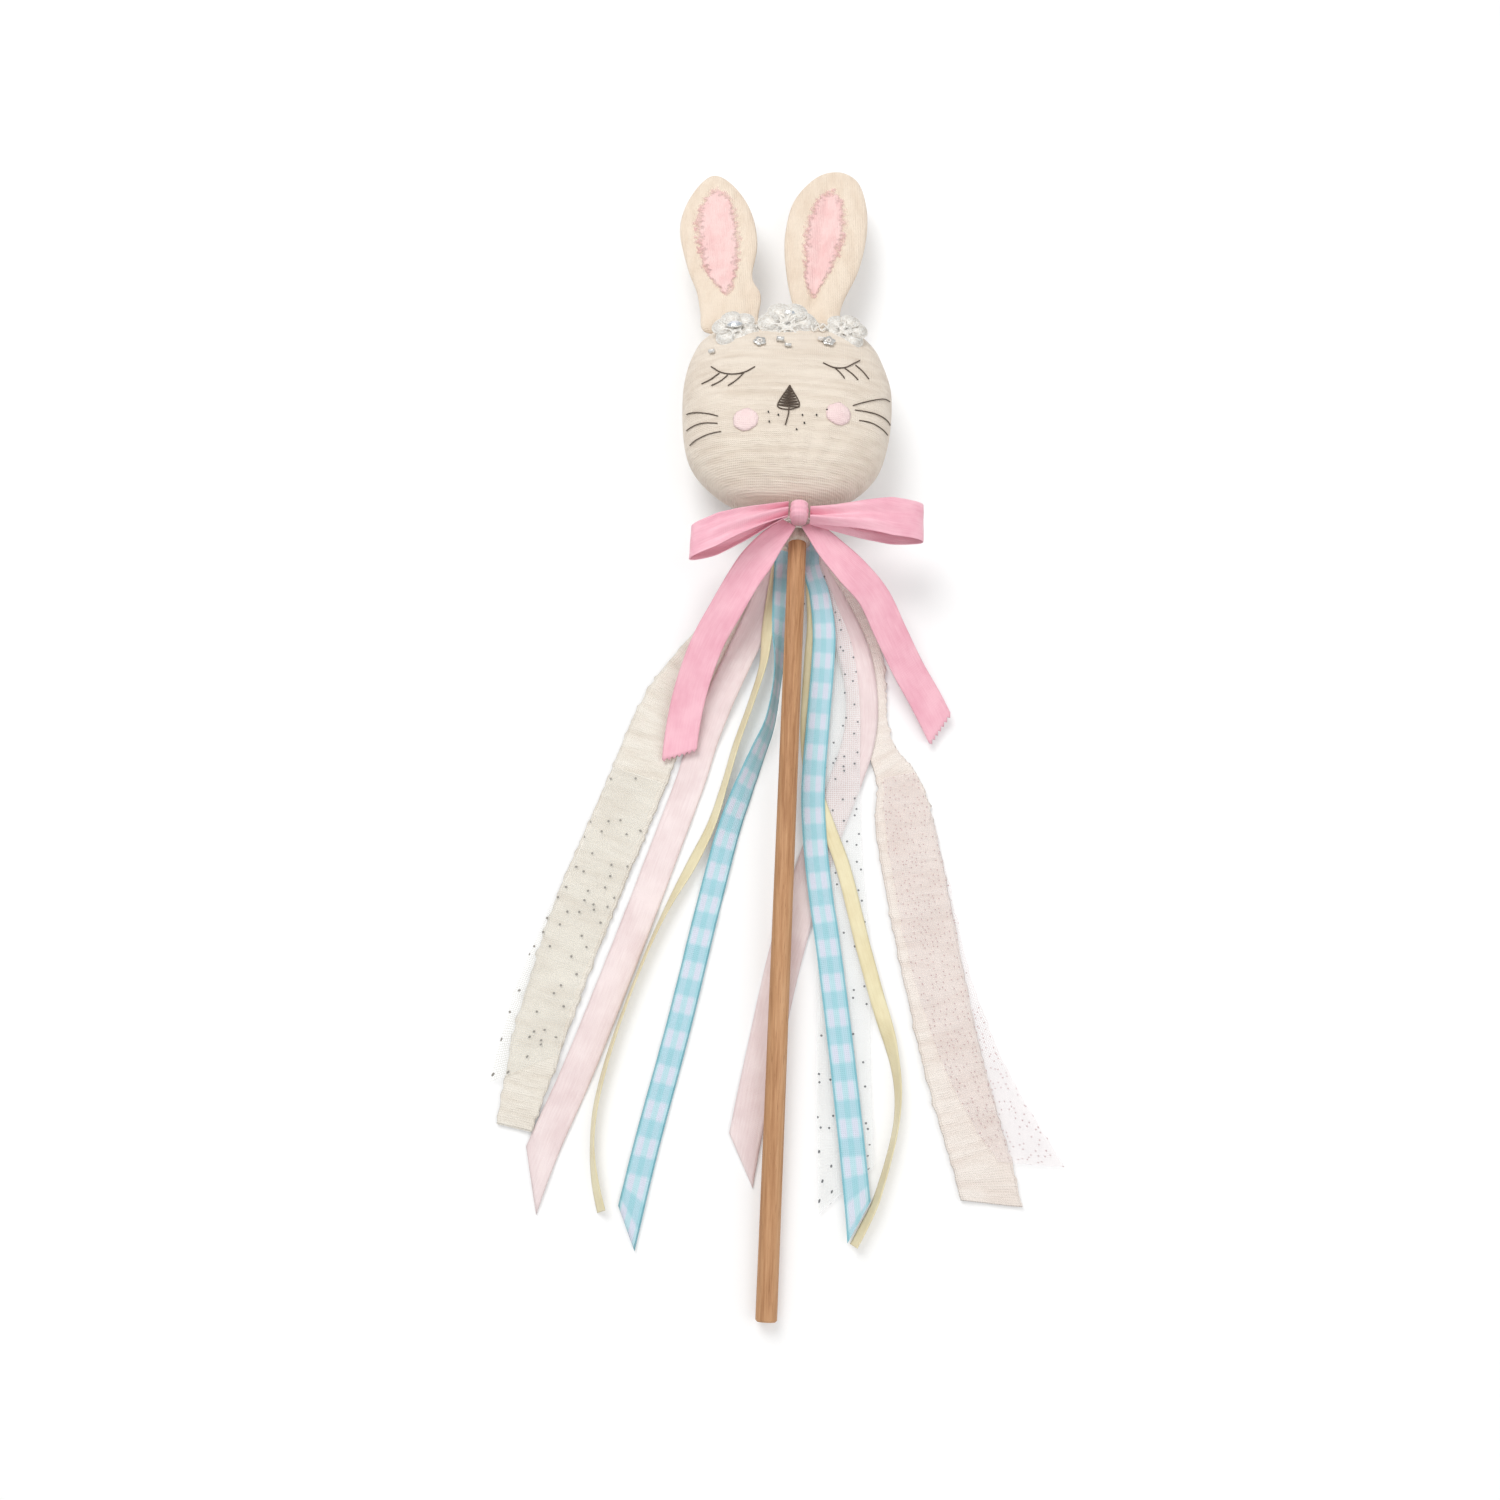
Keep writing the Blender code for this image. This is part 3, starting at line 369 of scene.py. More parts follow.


# %% [markdown]
# ### Gauze
#
# The head and the wide strips are double gauze: two thin open weaves held together by dots, so
# the cloth crinkles. The crinkle is a stretched noise that bumps the surface, and the same noise
# paints shade into the folds, a little darker and pinker in their low parts. A random cloud adds
# tone of its own, and a fine weave lies over it.

# %% Gauze
def gauze(name, light, dark, source, unit, crinkle=(1.0, 1.0), sheen=0.25):
    """Double gauze. unit is how many coordinate units make one metre."""
    n = Nodes(name, roughness=0.95)
    n.shader.inputs["Sheen Weight"].default_value = sheen
    n.shader.inputs["Specular IOR Level"].default_value = 0.2
    metre = 1.0 / unit
    place = n.coordinates(source, (metre, metre, metre))
    stretched = n.coordinates(source, (metre * crinkle[0], metre * crinkle[1], metre))
    folds = n.noise(stretched, 130.0, 5.0, 0.6)
    cloud = n.noise(place, 38.0, 3.0)
    threads = n.weave(place, 1150.0)
    # tone is partly a random cloud and partly painted shade: the fold noise darkens the low parts of
    # each crinkle
    tone = n.math("ADD", n.math("MULTIPLY", folds, 0.75), n.math("MULTIPLY", cloud, 0.35))
    base = n.ramp(tone, (0.36, dark), (0.62, light))
    slub = n.noise(n.coordinates(source, (metre * 0.15, metre, metre)), 900.0, 2.0)
    base = n.mix(n.math("MULTIPLY", slub, 0.14), base, tuple(0.72 * v for v in dark[:3]) + (1.0,))
    n.color(base)
    height = n.math("ADD", n.math("MULTIPLY", folds, 1.0), n.math("MULTIPLY", threads, 0.10))
    n.bump(height, 0.0016, 0.7)
    return n.material


HEAD_GAUZE = gauze("head_gauze", linear(239, 227, 212), linear(221, 206, 189), "Object", 1.0,
                   (0.22, 2.4))
EAR_GAUZE = gauze("ear_gauze", linear(243, 227, 208), linear(231, 211, 190), "Object", 1.0,
                  (1.3, 0.5))
EAR_PINK = gauze("ear_lining", linear(251, 216, 212), linear(242, 192, 190), "Object", 1.0,
                 (1.2, 0.6))


def fade(material, start):
    """Let a brushed cloth thin out to nothing at its edge, where U of its map reaches 1."""
    tree = material.node_tree
    coord = tree.nodes.new("ShaderNodeTexCoord")
    split = tree.nodes.new("ShaderNodeSeparateXYZ")
    tree.links.new(coord.outputs["UV"], split.inputs[0])
    tufts = tree.nodes.new("ShaderNodeTexNoise")
    tufts.inputs["Scale"].default_value = 420.0
    tree.links.new(coord.outputs["Object"], tufts.inputs["Vector"])
    edge = tree.nodes.new("ShaderNodeMath")
    edge.operation = "MULTIPLY_ADD"
    edge.inputs[1].default_value = 0.75
    tree.links.new(tufts.outputs["Fac"], edge.inputs[0])
    tree.links.new(split.outputs[0], edge.inputs[2])
    ramp = tree.nodes.new("ShaderNodeMapRange")
    ramp.inputs["From Min"].default_value = start
    ramp.inputs["From Max"].default_value = start + 0.35
    ramp.inputs["To Min"].default_value = 1.0
    ramp.inputs["To Max"].default_value = 0.0
    tree.links.new(edge.outputs[0], ramp.inputs["Value"])
    tree.links.new(ramp.outputs[0], tree.nodes["Principled BSDF"].inputs["Alpha"])


fade(EAR_PINK, 0.95)
CHEEK_PINK = gauze("cheek_cotton", linear(250, 226, 224), linear(243, 212, 212), "Object", 1.0)
MUSLIN_CREAM = gauze("cream_gauze", linear(243, 237, 226), linear(226, 216, 202), "UV", 100.0,
                     (0.30, 1.6))
MUSLIN_PINK = gauze("pinkish_gauze", linear(247, 238, 230), linear(234, 220, 210), "UV", 100.0,
                    (0.30, 1.7))
# The gathered hem is the head's gauze in darker tones: painted shade of the gathers under the head.
GATHER_GAUZE_SHADED = gauze("gathered_hem_painted_shade", linear(226, 211, 199), linear(190, 166, 150), "Object", 1.0,
                     (3.0, 0.4))
print("gauze finishes:", len([m for m in bpy.data.materials if "gauze" in m.name]))

# %% [markdown]
# ### Satin and organza ribbons
#
# Satin shines along its length, so it gets an anisotropic highlight and a very fine weave. The
# blush ribbons are thinner and cloudier. The yellow ribbon is plain satin. The checked ribbon
# is woven: two sets of soft stripes cross, and a solid edge runs along each side.

# %% Ribbons
def satin(name, light, dark, roughness, cloud=60.0):
    n = Nodes(name, roughness=roughness)
    n.shader.inputs["Anisotropic"].default_value = 0.6
    n.shader.inputs["Sheen Weight"].default_value = 0.15
    n.shader.inputs["Specular IOR Level"].default_value = 0.45
    place = n.coordinates("UV", (0.01, 0.01, 0.01))
    streaks = n.noise(n.coordinates("UV", (0.06, 0.004, 0.01)), 260.0, 2.0)
    tone = n.math("ADD", n.math("MULTIPLY", n.noise(place, cloud, 3.0), 0.7),
                  n.math("MULTIPLY", streaks, 0.3))
    n.color(n.ramp(tone, (0.36, dark), (0.60, light)))
    n.bump(n.weave(place, 1800.0), 0.0001, 0.35)
    return n.material


BOW_SATIN = satin("pink_satin", linear(246, 190, 203), linear(235, 166, 184), 0.32)
BLUSH_SATIN = satin("blush_satin", linear(242, 226, 225), linear(228, 206, 206), 0.42, 45.0)
YELLOW_SATIN = satin("yellow_satin", linear(238, 228, 190), linear(226, 212, 168), 0.4)


def gingham(name, width_cm):
    """Checked ribbon, across its width in centimetres."""
    n = Nodes(name, roughness=0.55)
    n.shader.inputs["Sheen Weight"].default_value = 0.2
    coord = n.add("ShaderNodeTexCoord")
    split = n.add("ShaderNodeSeparateXYZ")
    n.link(coord.outputs["UV"], split.inputs[0])
    across, along = split.outputs[0], split.outputs[1]

    def band(value, period, phase):
        angle = n.math("MULTIPLY_ADD", value, 2 * math.pi / period, phase)
        return n.math("SMOOTH_MIN", n.math("SMOOTH_MAX", n.math("MULTIPLY_ADD", n.math(
            "SINE", angle), 1.6, 0.5), 0.0, 0.15), 1.0, 0.15)

    rows = band(along, 1.4, 0.0)
    columns = band(across, width_cm * 0.46, -1.9)
    lilac = n.math("MULTIPLY", rows, columns)
    base = n.mix(rows, linear(160, 211, 222), linear(188, 223, 232))
    base = n.mix(n.math("MULTIPLY", columns, 0.35), base, linear(206, 222, 238))
    base = n.mix(n.math("MULTIPLY", lilac, 0.6), base, linear(226, 220, 238))
    middle = n.math("ABSOLUTE", n.math("SUBTRACT", across, width_cm / 2))
    edge = n.math("GREATER_THAN", middle, width_cm / 2 - 0.075)
    n.color(n.mix(n.math("MULTIPLY", edge, 0.7), base, linear(108, 176, 190)))
    n.bump(n.weave(n.coordinates("UV", (0.01, 0.01, 0.01)), 1300.0), 0.00015, 0.5)
    return n.material


GINGHAM = gingham("checked_ribbon", 1.0)

# %% [markdown]
# ### Sheer cloths
#
# Tulle and net are mostly holes. A Voronoi pattern gives the mesh of threads, and its edges
# stay opaque. The dots are small round spots, kept only in some cells, and they are metallic.

# %% Sheer cloths
def sheer(name, thread, dot, cells, cover, dot_size, dots, dot_cells, metallic=0.8):
    """Net with printed dots. cells and dot_cells are cells to one centimetre."""
    n = Nodes(name, roughness=0.6)
    place = n.coordinates("UV", (1.0, 1.0, 1.0))
    net = n.add("ShaderNodeTexVoronoi", voronoi_dimensions="2D", feature="DISTANCE_TO_EDGE")
    net.inputs["Scale"].default_value = cells
    net.inputs["Randomness"].default_value = 0.35
    n.link(place, net.inputs["Vector"])
    threads = n.math("LESS_THAN", net.outputs["Distance"], 0.10)
    spots = n.add("ShaderNodeTexVoronoi", voronoi_dimensions="2D", feature="F1")
    spots.inputs["Scale"].default_value = dot_cells
    spots.inputs["Randomness"].default_value = 0.9
    n.link(place, spots.inputs["Vector"])
    split = n.add("ShaderNodeSeparateColor")
    n.link(spots.outputs["Color"], split.inputs[0])
    chosen = n.math("LESS_THAN", split.outputs[0], dots)
    spot = n.math("MULTIPLY", chosen, n.math("LESS_THAN", spots.outputs["Distance"],
                                             dot_size * dot_cells))
    cloud = n.noise(n.coordinates("UV", (0.01, 0.01, 0.01)), 60.0, 3.0)
    body = n.ramp(cloud, (0.35, tuple(0.93 * v for v in thread[:3]) + (1.0,)), (0.65, thread))
    n.color(n.mix(spot, body, dot))
    n.link(n.math("MULTIPLY", spot, metallic), n.shader.inputs["Metallic"])
    cloth = n.math("MULTIPLY_ADD", threads, 0.5, cover)
    n.link(n.math("MAXIMUM", spot, n.math("MINIMUM", cloth, 1.0)), n.shader.inputs["Alpha"])
    n.material.surface_render_method = "DITHERED"
    return n.material


DOT_TULLE = sheer("dotted_tulle", linear(246, 245, 238), linear(150, 146, 140),
                  14.0, 0.10, 0.050, 0.40, 2.0)
GLITTER_TULLE = sheer("glitter_tulle", linear(247, 236, 236), linear(196, 168, 168),
                      16.0, 0.10, 0.026, 0.6, 5.0)
DOT_NET = sheer("dotted_net", linear(247, 249, 248), linear(126, 128, 130),
                11.0, 0.26, 0.045, 0.45, 2.2)

# %% [markdown]
# ### Wood, thread, lace, stones and metal
#
# The stick is bare softwood: fine dark streaks that run its whole length, with a slow change
# of tone. Thread is matt with a twist. The stones are clear and bright, set in silver.

# %% Wood and small finishes
def wood(name):
    n = Nodes(name, roughness=0.6)
    n.shader.inputs["Specular IOR Level"].default_value = 0.35
    grain = n.noise(n.coordinates("Object", (1.0, 0.022, 1.0)), 900.0, 6.0, 0.65)
    slow = n.noise(n.coordinates("Object", (1.0, 0.12, 1.0)), 70.0, 3.0)
    flecks = n.noise(n.coordinates("Object", (1.0, 0.05, 1.0)), 2400.0, 2.0)
    tone = n.math("ADD", n.math("MULTIPLY", grain, 0.6), n.math("MULTIPLY", slow, 0.4))
    base = n.ramp(tone, (0.34, linear(160, 112, 74)), (0.50, linear(193, 145, 104)),
                  (0.66, linear(214, 170, 130)))
    dark = n.math("GREATER_THAN", flecks, 0.66)
    n.color(n.mix(n.math("MULTIPLY", dark, 0.35), base, linear(132, 88, 56)))
    n.bump(grain, 0.0003, 0.5)
    return n.material


def plain(name, light, dark, roughness, metallic=0.0, scale=400.0, depth=0.0002):
    """A small piece's finish: two tones of noise and a fine bump from the same noise, so the darker
    tone lies in the bump's hollows as painted shade.
    """
    n = Nodes(name, roughness=roughness, metallic=metallic)
    tone = n.noise(n.coordinates("Object", (1.0, 1.0, 1.0)), scale, 4.0)
    n.color(n.ramp(tone, (0.35, dark), (0.65, light)))
    n.bump(tone, depth, 0.6)
    return n.material


WOOD = wood("bare_softwood")
# The lace's warm darker tone is painted shade in the hollows of the crochet.
LACE = plain("corded_lace", linear(253, 251, 246), linear(228, 221, 211), 0.9, 0.0, 1100.0, 0.0012)
FACE_THREAD = plain("brown_floss", linear(104, 88, 74), linear(70, 58, 48), 0.75, 0.0, 2500.0)
WHITE_THREAD = plain("white_thread", linear(246, 242, 236), linear(214, 205, 196), 0.7, 0.0, 1800.0)
SILVER = plain("silver_metal", linear(240, 239, 236), linear(206, 204, 200), 0.3, 0.55, 900.0)
BLACK_PRINT = plain("dark_thread", linear(70, 64, 58), linear(44, 40, 36), 0.7, 0.0, 1200.0)
STONE = plain("clear_stone", linear(236, 240, 244), linear(196, 204, 212), 0.05, 0.55, 700.0)
STONE.node_tree.nodes["Principled BSDF"].inputs["Coat Weight"].default_value = 0.6
print("finishes made:", len(bpy.data.materials))

# %% [markdown]
# ## Stick
#
# The stick's solid already has the right size, lean and rounded ends, so it stays and only
# gets its wood. No other solid shows: everything else is cloth, thread or a small trim.

# %% Stick
def keep_node(name, material):
    node = bpy.data.objects[name]
    node.data.materials.clear()
    node.data.materials.append(material)


keep_node("dowel", WOOD)

# %% [markdown]
# ## Head
#
# The head is two pieces of gauze sewn round the edge and stuffed. Its surface is a height over
# the seam plane: full in the middle, and steep at the seam. Crinkles run across, gathers fan
# out from the neck, and the seam puckers. One function gives that height, so that the face and
# the crown can be sewn on exactly at the surface.

# %% Head surface
HEAD_OUTLINE = [
    (0.00, 1.00), (0.42, 0.98), (0.78, 0.80), (0.96, 0.42), (1.00, 0.12),
    (0.97, -0.28), (0.86, -0.62), (0.58, -0.88), (0.16, -1.00),
    (-0.36, -0.99), (-0.68, -0.82), (-0.92, -0.50), (-1.00, 0.06),
    (-0.97, 0.48), (-0.82, 0.80), (-0.46, 0.97),
]
front_low, front_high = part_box("head_front")
back_low, back_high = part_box("head_back")
HEAD_MIDDLE = Vector(((front_low[0] + front_high[0]) / 2, (front_low[1] + front_high[1]) / 2,
                      (back_high[2] + front_low[2]) / 2))
HEAD_HALF = Vector(((front_high[0] - front_low[0]) / 2, (front_high[1] - front_low[1]) / 2,
                    front_high[2] - HEAD_MIDDLE.z))
NECK = Vector((0.0, front_low[1], 0.0))
HEAD_RING = 128
edge = smooth(HEAD_OUTLINE, 24, closed=True)
edge_angles = sorted((math.atan2(v, u), math.hypot(u, v)) for u, v in edge)


def edge_radius(angle):
    """Radius of the head's outline, in half sizes, at an angle."""
    for (a0, r0), (a1, r1) in zip(edge_angles, edge_angles[1:]):
        if a0 <= angle <= a1:
            return r0 + (r1 - r0) * (angle - a0) / max(a1 - a0, 1e-9)
    return edge_angles[0][1]


def crinkle(x, y):
    """Crinkles of the gauze and gathers at the neck, in metres."""
    across = fractal(x * 22.0, y * 330.0, 1.7, 3) * 0.00045
    blotch = fractal(x * 90.0, y * 120.0, 4.4, 2) * 0.0004
    reach = Vector((x - NECK.x, y - NECK.y))
    fan = math.atan2(reach.x, max(reach.y, 1e-4))
    near = math.exp(-reach.length / 0.022)
    return across + blotch + near * 0.0016 * math.sin(fan * 17.0 + 1.3)


def head_point(u, v, front=True):
    """Place on the head's surface for a place on its plan, in half sizes."""
    share = min(1.0, math.hypot(u, v) / edge_radius(math.atan2(v, u)))
    height = max(0.0, 1.0 - share ** 2.7) ** 0.5
    x, y = HEAD_MIDDLE.x + u * HEAD_HALF.x, HEAD_MIDDLE.y + v * HEAD_HALF.y
    pucker = 0.0011 * math.sin(math.atan2(v, u) * 31.0 + fractal(u * 3, v * 3, 2.0) * 4.0)
    detail = crinkle(x, y) * min(1.0, 3.0 * (1.0 - share)) + pucker * share ** 8 * height
    if front:
        return Vector((x, y, HEAD_MIDDLE.z + height * (HEAD_HALF.z - 0.0007) + detail))
    depth = HEAD_MIDDLE.z - 0.0002
    flat = height ** 0.8
    return Vector((x, y, HEAD_MIDDLE.z - flat * depth + 0.4 * abs(detail)))


def on_head(x, y, lift=0.0):
    """Place and outward direction on the front of the head, over a place in plan."""
    u, v = (x - HEAD_MIDDLE.x) / HEAD_HALF.x, (y - HEAD_MIDDLE.y) / HEAD_HALF.y
    step = 0.02
    spot = head_point(u, v)
    slope_u = head_point(u + step, v) - head_point(u - step, v)
    slope_v = head_point(u, v + step) - head_point(u, v - step)
    outward = slope_u.cross(slope_v).normalized()
    return spot + outward * lift, outward


# %% [markdown]
# The cloth is a set of rings from the seam to the middle, on the front and then on the back.

# %% Head cloth
def make_head():
    verts, faces = [], []
    shares = [1.0 - 0.5 * (1 - math.cos(math.pi * k / 30)) for k in range(30)]
    shares = [s for s in shares if s > 0.02]
    rings = []
    for front in (True, False):
        for share in (shares if front else shares[1:]):
            ring = []
            for k in range(HEAD_RING):
                angle = 2 * math.pi * k / HEAD_RING - math.pi
                radius = edge_radius(angle) * share
                ring.append(len(verts))
                verts.append(head_point(radius * math.cos(angle), radius * math.sin(angle), front))
            rings.append(ring)
        centre = len(verts)
        verts.append(head_point(0.0, 0.0, front))
        for k in range(HEAD_RING):
            tip = (rings[-1][k], rings[-1][(k + 1) % HEAD_RING], centre)
            faces.append(tip if front else tip[::-1])
        start = 0 if front else len(shares)
        chain = rings[start:] if front else [rings[0]] + rings[start:]
        for ring, after in zip(chain, chain[1:]):
            for k in range(HEAD_RING):
                j = (k + 1) % HEAD_RING
                quad = (ring[k], ring[j], after[j], after[k])
                faces.append(quad if front else quad[::-1])
    head = mesh_object("head_cloth", verts, faces, in_cm(verts),
                       HEAD_GAUZE)
    apply_modifier(head, "SUBSURF", levels=1, render_levels=1)
    return head


head = make_head()
sew_on(head, "linen", "head_front", "head_back", "head_stuffing")
print("head:", len(head.data.polygons), "faces")

# %% [markdown]
# ## Ears
#
# Each ear is two cloths with thin wadding, so it is thick in the middle and thin at its sewn
# edge. Its thickness grows with the distance from the edge. The ear's middle plane tilts at one
# steady slope about its root line. The pink lining is a thin cloth that lies on the front.

# %% Ears
EAR_LEFT = [
    (-47.0, 157.5), (-50.5, 170.0), (-53.0, 182.0), (-58.5, 197.0), (-64.0, 222.0),
    (-60.0, 243.0), (-50.5, 257.5), (-40.0, 253.0), (-29.5, 236.0), (-24.9, 214.0),
    (-26.6, 193.0), (-21.9, 182.0), (-22.5, 170.0), (-24.5, 160.5),
]
EAR_RIGHT = [
    (-5.5, 162.0), (-6.0, 172.0), (-9.5, 188.0), (-12.0, 207.0), (-12.0, 224.0), (-8.5, 243.0),
    (2.0, 259.0), (13.5, 263.5), (23.5, 257.0), (28.0, 240.0), (28.2, 221.0),
    (24.5, 199.0), (18.0, 181.0), (16.0, 172.0), (15.5, 162.0),
]
LINING_LEFT = [
    (-38.0, 176.0), (-44.0, 183.0), (-52.5, 197.0), (-57.5, 220.0), (-54.0, 240.0),
    (-47.5, 248.0), (-38.5, 241.0), (-33.0, 218.0), (-33.0, 192.0),
]
LINING_RIGHT = [
    (3.0, 178.0), (-1.5, 186.0), (-3.5, 206.0), (-3.2, 226.0), (2.0, 242.0), (10.0, 251.0),
    (17.8, 238.0), (18.5, 216.0), (12.0, 196.0),
]
EAR_DROOP = 0.055
EAR_PUFF = 2.9
EAR_BAND = 9.0
ear_root_low, ear_root_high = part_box("ear_left_root")
EAR_FOLD_Y = ear_root_high[1] / MM
EAR_MIDDLE_Z = (ear_root_low[2] + ear_root_high[2]) / 2 / MM


def edge_distance(x, y, outline):
    """Distance from a point inside an outline to its edge."""
    best = 1e9
    for (ax, ay), (bx, by) in zip(outline, outline[1:] + outline[:1]):
        dx, dy = bx - ax, by - ay
        t = max(0.0, min(1.0, ((x - ax) * dx + (y - ay) * dy) / (dx * dx + dy * dy + 1e-9)))
        best = min(best, math.hypot(x - ax - t * dx, y - ay - t * dy))
    return best


def ear_height(x, y, outline, crease):
    """Height of an ear's front cloth over its middle plane, with its creases."""
    inside = min(1.0, edge_distance(x, y, outline) / EAR_BAND)
    puff = EAR_PUFF * (1.0 - (1.0 - inside) ** 2) ** 0.5
    wrinkle = 0.9 * fractal(x / 7.0, y / 16.0, 6.0, 3) * inside
    (ax, ay), (bx, by), depth, width = crease
    off = ((x - ax) * (by - ay) - (y - ay) * (bx - ax)) / math.hypot(bx - ax, by - ay)
    fold = depth * math.exp(-(off / width) ** 2) * inside
    return puff + wrinkle - fold


def ear_plane(y):
    return EAR_MIDDLE_Z - EAR_DROOP * (y - EAR_FOLD_Y)


def spine_of(outline, share_low=0.18, share_high=0.80):
    """The middle line of an ear, as its two ends."""
    low, high = min(p[1] for p in outline), max(p[1] for p in outline)
    ends = []
    for share in (share_low, share_high):
        y = low + (high - low) * share
        xs = [a[0] + (b[0] - a[0]) * (y - a[1]) / (b[1] - a[1])
              for a, b in zip(outline, outline[1:] + outline[:1])
              if (a[1] - y) * (b[1] - y) <= 0 and a[1] != b[1]]
        ends.append((sum(xs) / len(xs), y))
    return ends


def fill_outline(outline, spine, rings, height):
    """Rings of points from an outline to its spine, with a height for each point."""
    (ax, ay), (bx, by) = spine
    verts = []
    count = len(outline)
    for r in range(rings + 1):
        share = 1.0 - 0.95 * (r / rings) ** 1.15
        for x, y in outline:
            t = max(0.0, min(1.0, (y - ay) / (by - ay)))
            sx, sy = ax + (bx - ax) * t, ay + (by - ay) * t
            px, py = sx + (x - sx) * share, sy + (y - sy) * share
            verts.append((px * MM, py * MM, height(px, py, share) * MM))
    inner = [Vector((x, y, 0.0)) for x, y, _ in verts[-count:]]
    faces = grid_faces(rings + 1, count, closed=True)
    faces += [tuple(rings * count + i for i in triangle)
              for triangle in tessellate_polygon([inner])]
    return verts, faces


def make_ear(side, points, lining_points, crease):
    outline = smooth(points, 6, closed=True)
    spine = spine_of(outline)
    front, front_faces = fill_outline(
        outline, spine, 14,
        lambda x, y, s: ear_plane(y) + (ear_height(x, y, outline, crease) if s < 1 else 0.0))
    back, _ = fill_outline(
        outline, spine, 14,
        lambda x, y, s: ear_plane(y) - (0.8 * ear_height(x, y, outline, crease) if s < 1 else 0.0))
    offset = len(front)
    faces = front_faces + [tuple(i + offset for i in face[::-1]) for face in front_faces]
    verts = front + back
    ear = mesh_object(f"ear_{side}_cloth", verts, faces, in_cm(verts),
                      EAR_GAUZE)
    weld(ear)
    apply_modifier(ear, "SUBSURF", levels=1, render_levels=1)
    lining_edge = smooth(lining_points, 6, closed=True)
    lining, lining_faces = fill_outline(
        lining_edge, spine_of(lining_edge), 10,
        lambda x, y, s: ear_plane(y) + ear_height(x, y, outline, crease) + 0.25)
    patch = mesh_object(f"ear_{side}_lining", lining, lining_faces,
                        [(1.0 - 0.95 * (i // len(lining_edge) / 10) ** 1.15, 0.0)
                         for i in range(len(lining))], EAR_PINK)
    weld(patch)
    face_up(patch)
    apply_modifier(patch, "SOLIDIFY", thickness=0.5 * MM, offset=0.0)
    apply_modifier(patch, "SUBSURF", levels=1, render_levels=1)
    for piece in (ear, patch):
        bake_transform(piece)
    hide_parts(f"ear_{side}_front", f"ear_{side}_back", f"ear_{side}_wadding",
                f"ear_{side}_root")
    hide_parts(f"ear_{side}_patch")


def weld(piece, distance=0.00005):
    """Join vertices that share a place, and turn all faces outwards."""
    build = bmesh.new()
    build.from_mesh(piece.data)
    bmesh.ops.remove_doubles(build, verts=build.verts, dist=distance)
    bmesh.ops.dissolve_degenerate(build, edges=build.edges, dist=distance)
    bmesh.ops.recalc_face_normals(build, faces=build.faces)
    build.to_mesh(piece.data)
    build.free()


make_ear("left", EAR_LEFT, LINING_LEFT, ((-37.0, 246.0), (-27.5, 180.0), 1.5, 3.2))
make_ear("right", EAR_RIGHT, LINING_RIGHT, ((9.5, 252.0), (3.0, 180.0), 1.5, 3.0))
print("ears fold at y", round(EAR_FOLD_Y, 1), "mm")

# %% [markdown]
# ## Face
#
# The face is embroidered with brown floss. Each line is a short curve, laid on the head's
# surface and given a round section. The nose is a small triangle filled with close zigzag
# stitches, and each freckle is one tiny knot.

# %% Embroidery
def floss(name, lines, radius, material, lift=0.15, steps=10):
    """Threads along lines in plan, in millimetres, lying on the head."""
    data = bpy.data.curves.new(name, "CURVE")
    data.dimensions = "3D"
    data.bevel_depth = radius * MM
    data.bevel_resolution = 2
    data.use_fill_caps = True
    for line in lines:
        curve = smooth(line, steps) if len(line) > 2 else [
            tuple(a + (b - a) * t / 6 for a, b in zip(line[0], line[1])) for t in range(7)]
        spline = data.splines.new("POLY")
        spline.points.add(len(curve) - 1)
        for point, (x, y) in zip(spline.points, curve):
            spot, _ = on_head(x * MM, y * MM, (radius * 0.5 + lift) * MM)
            point.co = (*spot, 1.0)
    thread = bpy.data.objects.new(name, data)
    bpy.context.scene.collection.objects.link(thread)
    thread.data.materials.append(material)
    bpy.ops.object.select_all(action="DESELECT")
    thread.select_set(True)
    bpy.context.view_layer.objects.active = thread
    bpy.ops.object.convert(target="MESH")
    return sew_on(bpy.context.object, "brown_thread")


floss("eye_left", [
    [(-42.0, 126.6), (-37.4, 122.4), (-31.9, 120.6), (-26.5, 121.3), (-22.3, 123.9)],
    [(-38.0, 122.0), (-41.8, 119.6), (-45.8, 118.6)],
    [(-34.2, 120.4), (-37.5, 117.5), (-41.3, 116.0)],
    [(-27.0, 121.0), (-30.0, 117.4), (-33.8, 114.8)]], 0.27, FACE_THREAD)
floss("eye_right", [
    [(7.8, 127.8), (12.8, 125.9), (18.1, 127.0), (24.4, 132.8)],
    [(13.0, 125.9), (15.6, 123.3), (17.6, 120.6)], [(17.5, 126.3), (20.8, 124.0), (23.7, 121.3)],
    [(22.4, 129.3), (25.6, 127.0), (28.6, 123.6)]], 0.27, FACE_THREAD)
nose_rows = 15
zigzag = []
for row in range(nose_rows + 1):
    share = row / nose_rows
    half = 0.5 + 4.3 * share
    y_here = 113.6 - 10.2 * share
    zigzag.append((-6.6 + (half if row % 2 else -half), y_here))
nose_edge = [(-6.5, 114.4), (-11.4, 103.2), (-2.0, 103.9), (-6.5, 114.4)]
nose = floss("nose_stitches", [zigzag, nose_edge], 0.3, FACE_THREAD)
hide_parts("nose")
floss("mouth", [[(-6.4, 103.6), (-6.7, 99.5), (-7.8, 94.6)]], 0.28, FACE_THREAD)
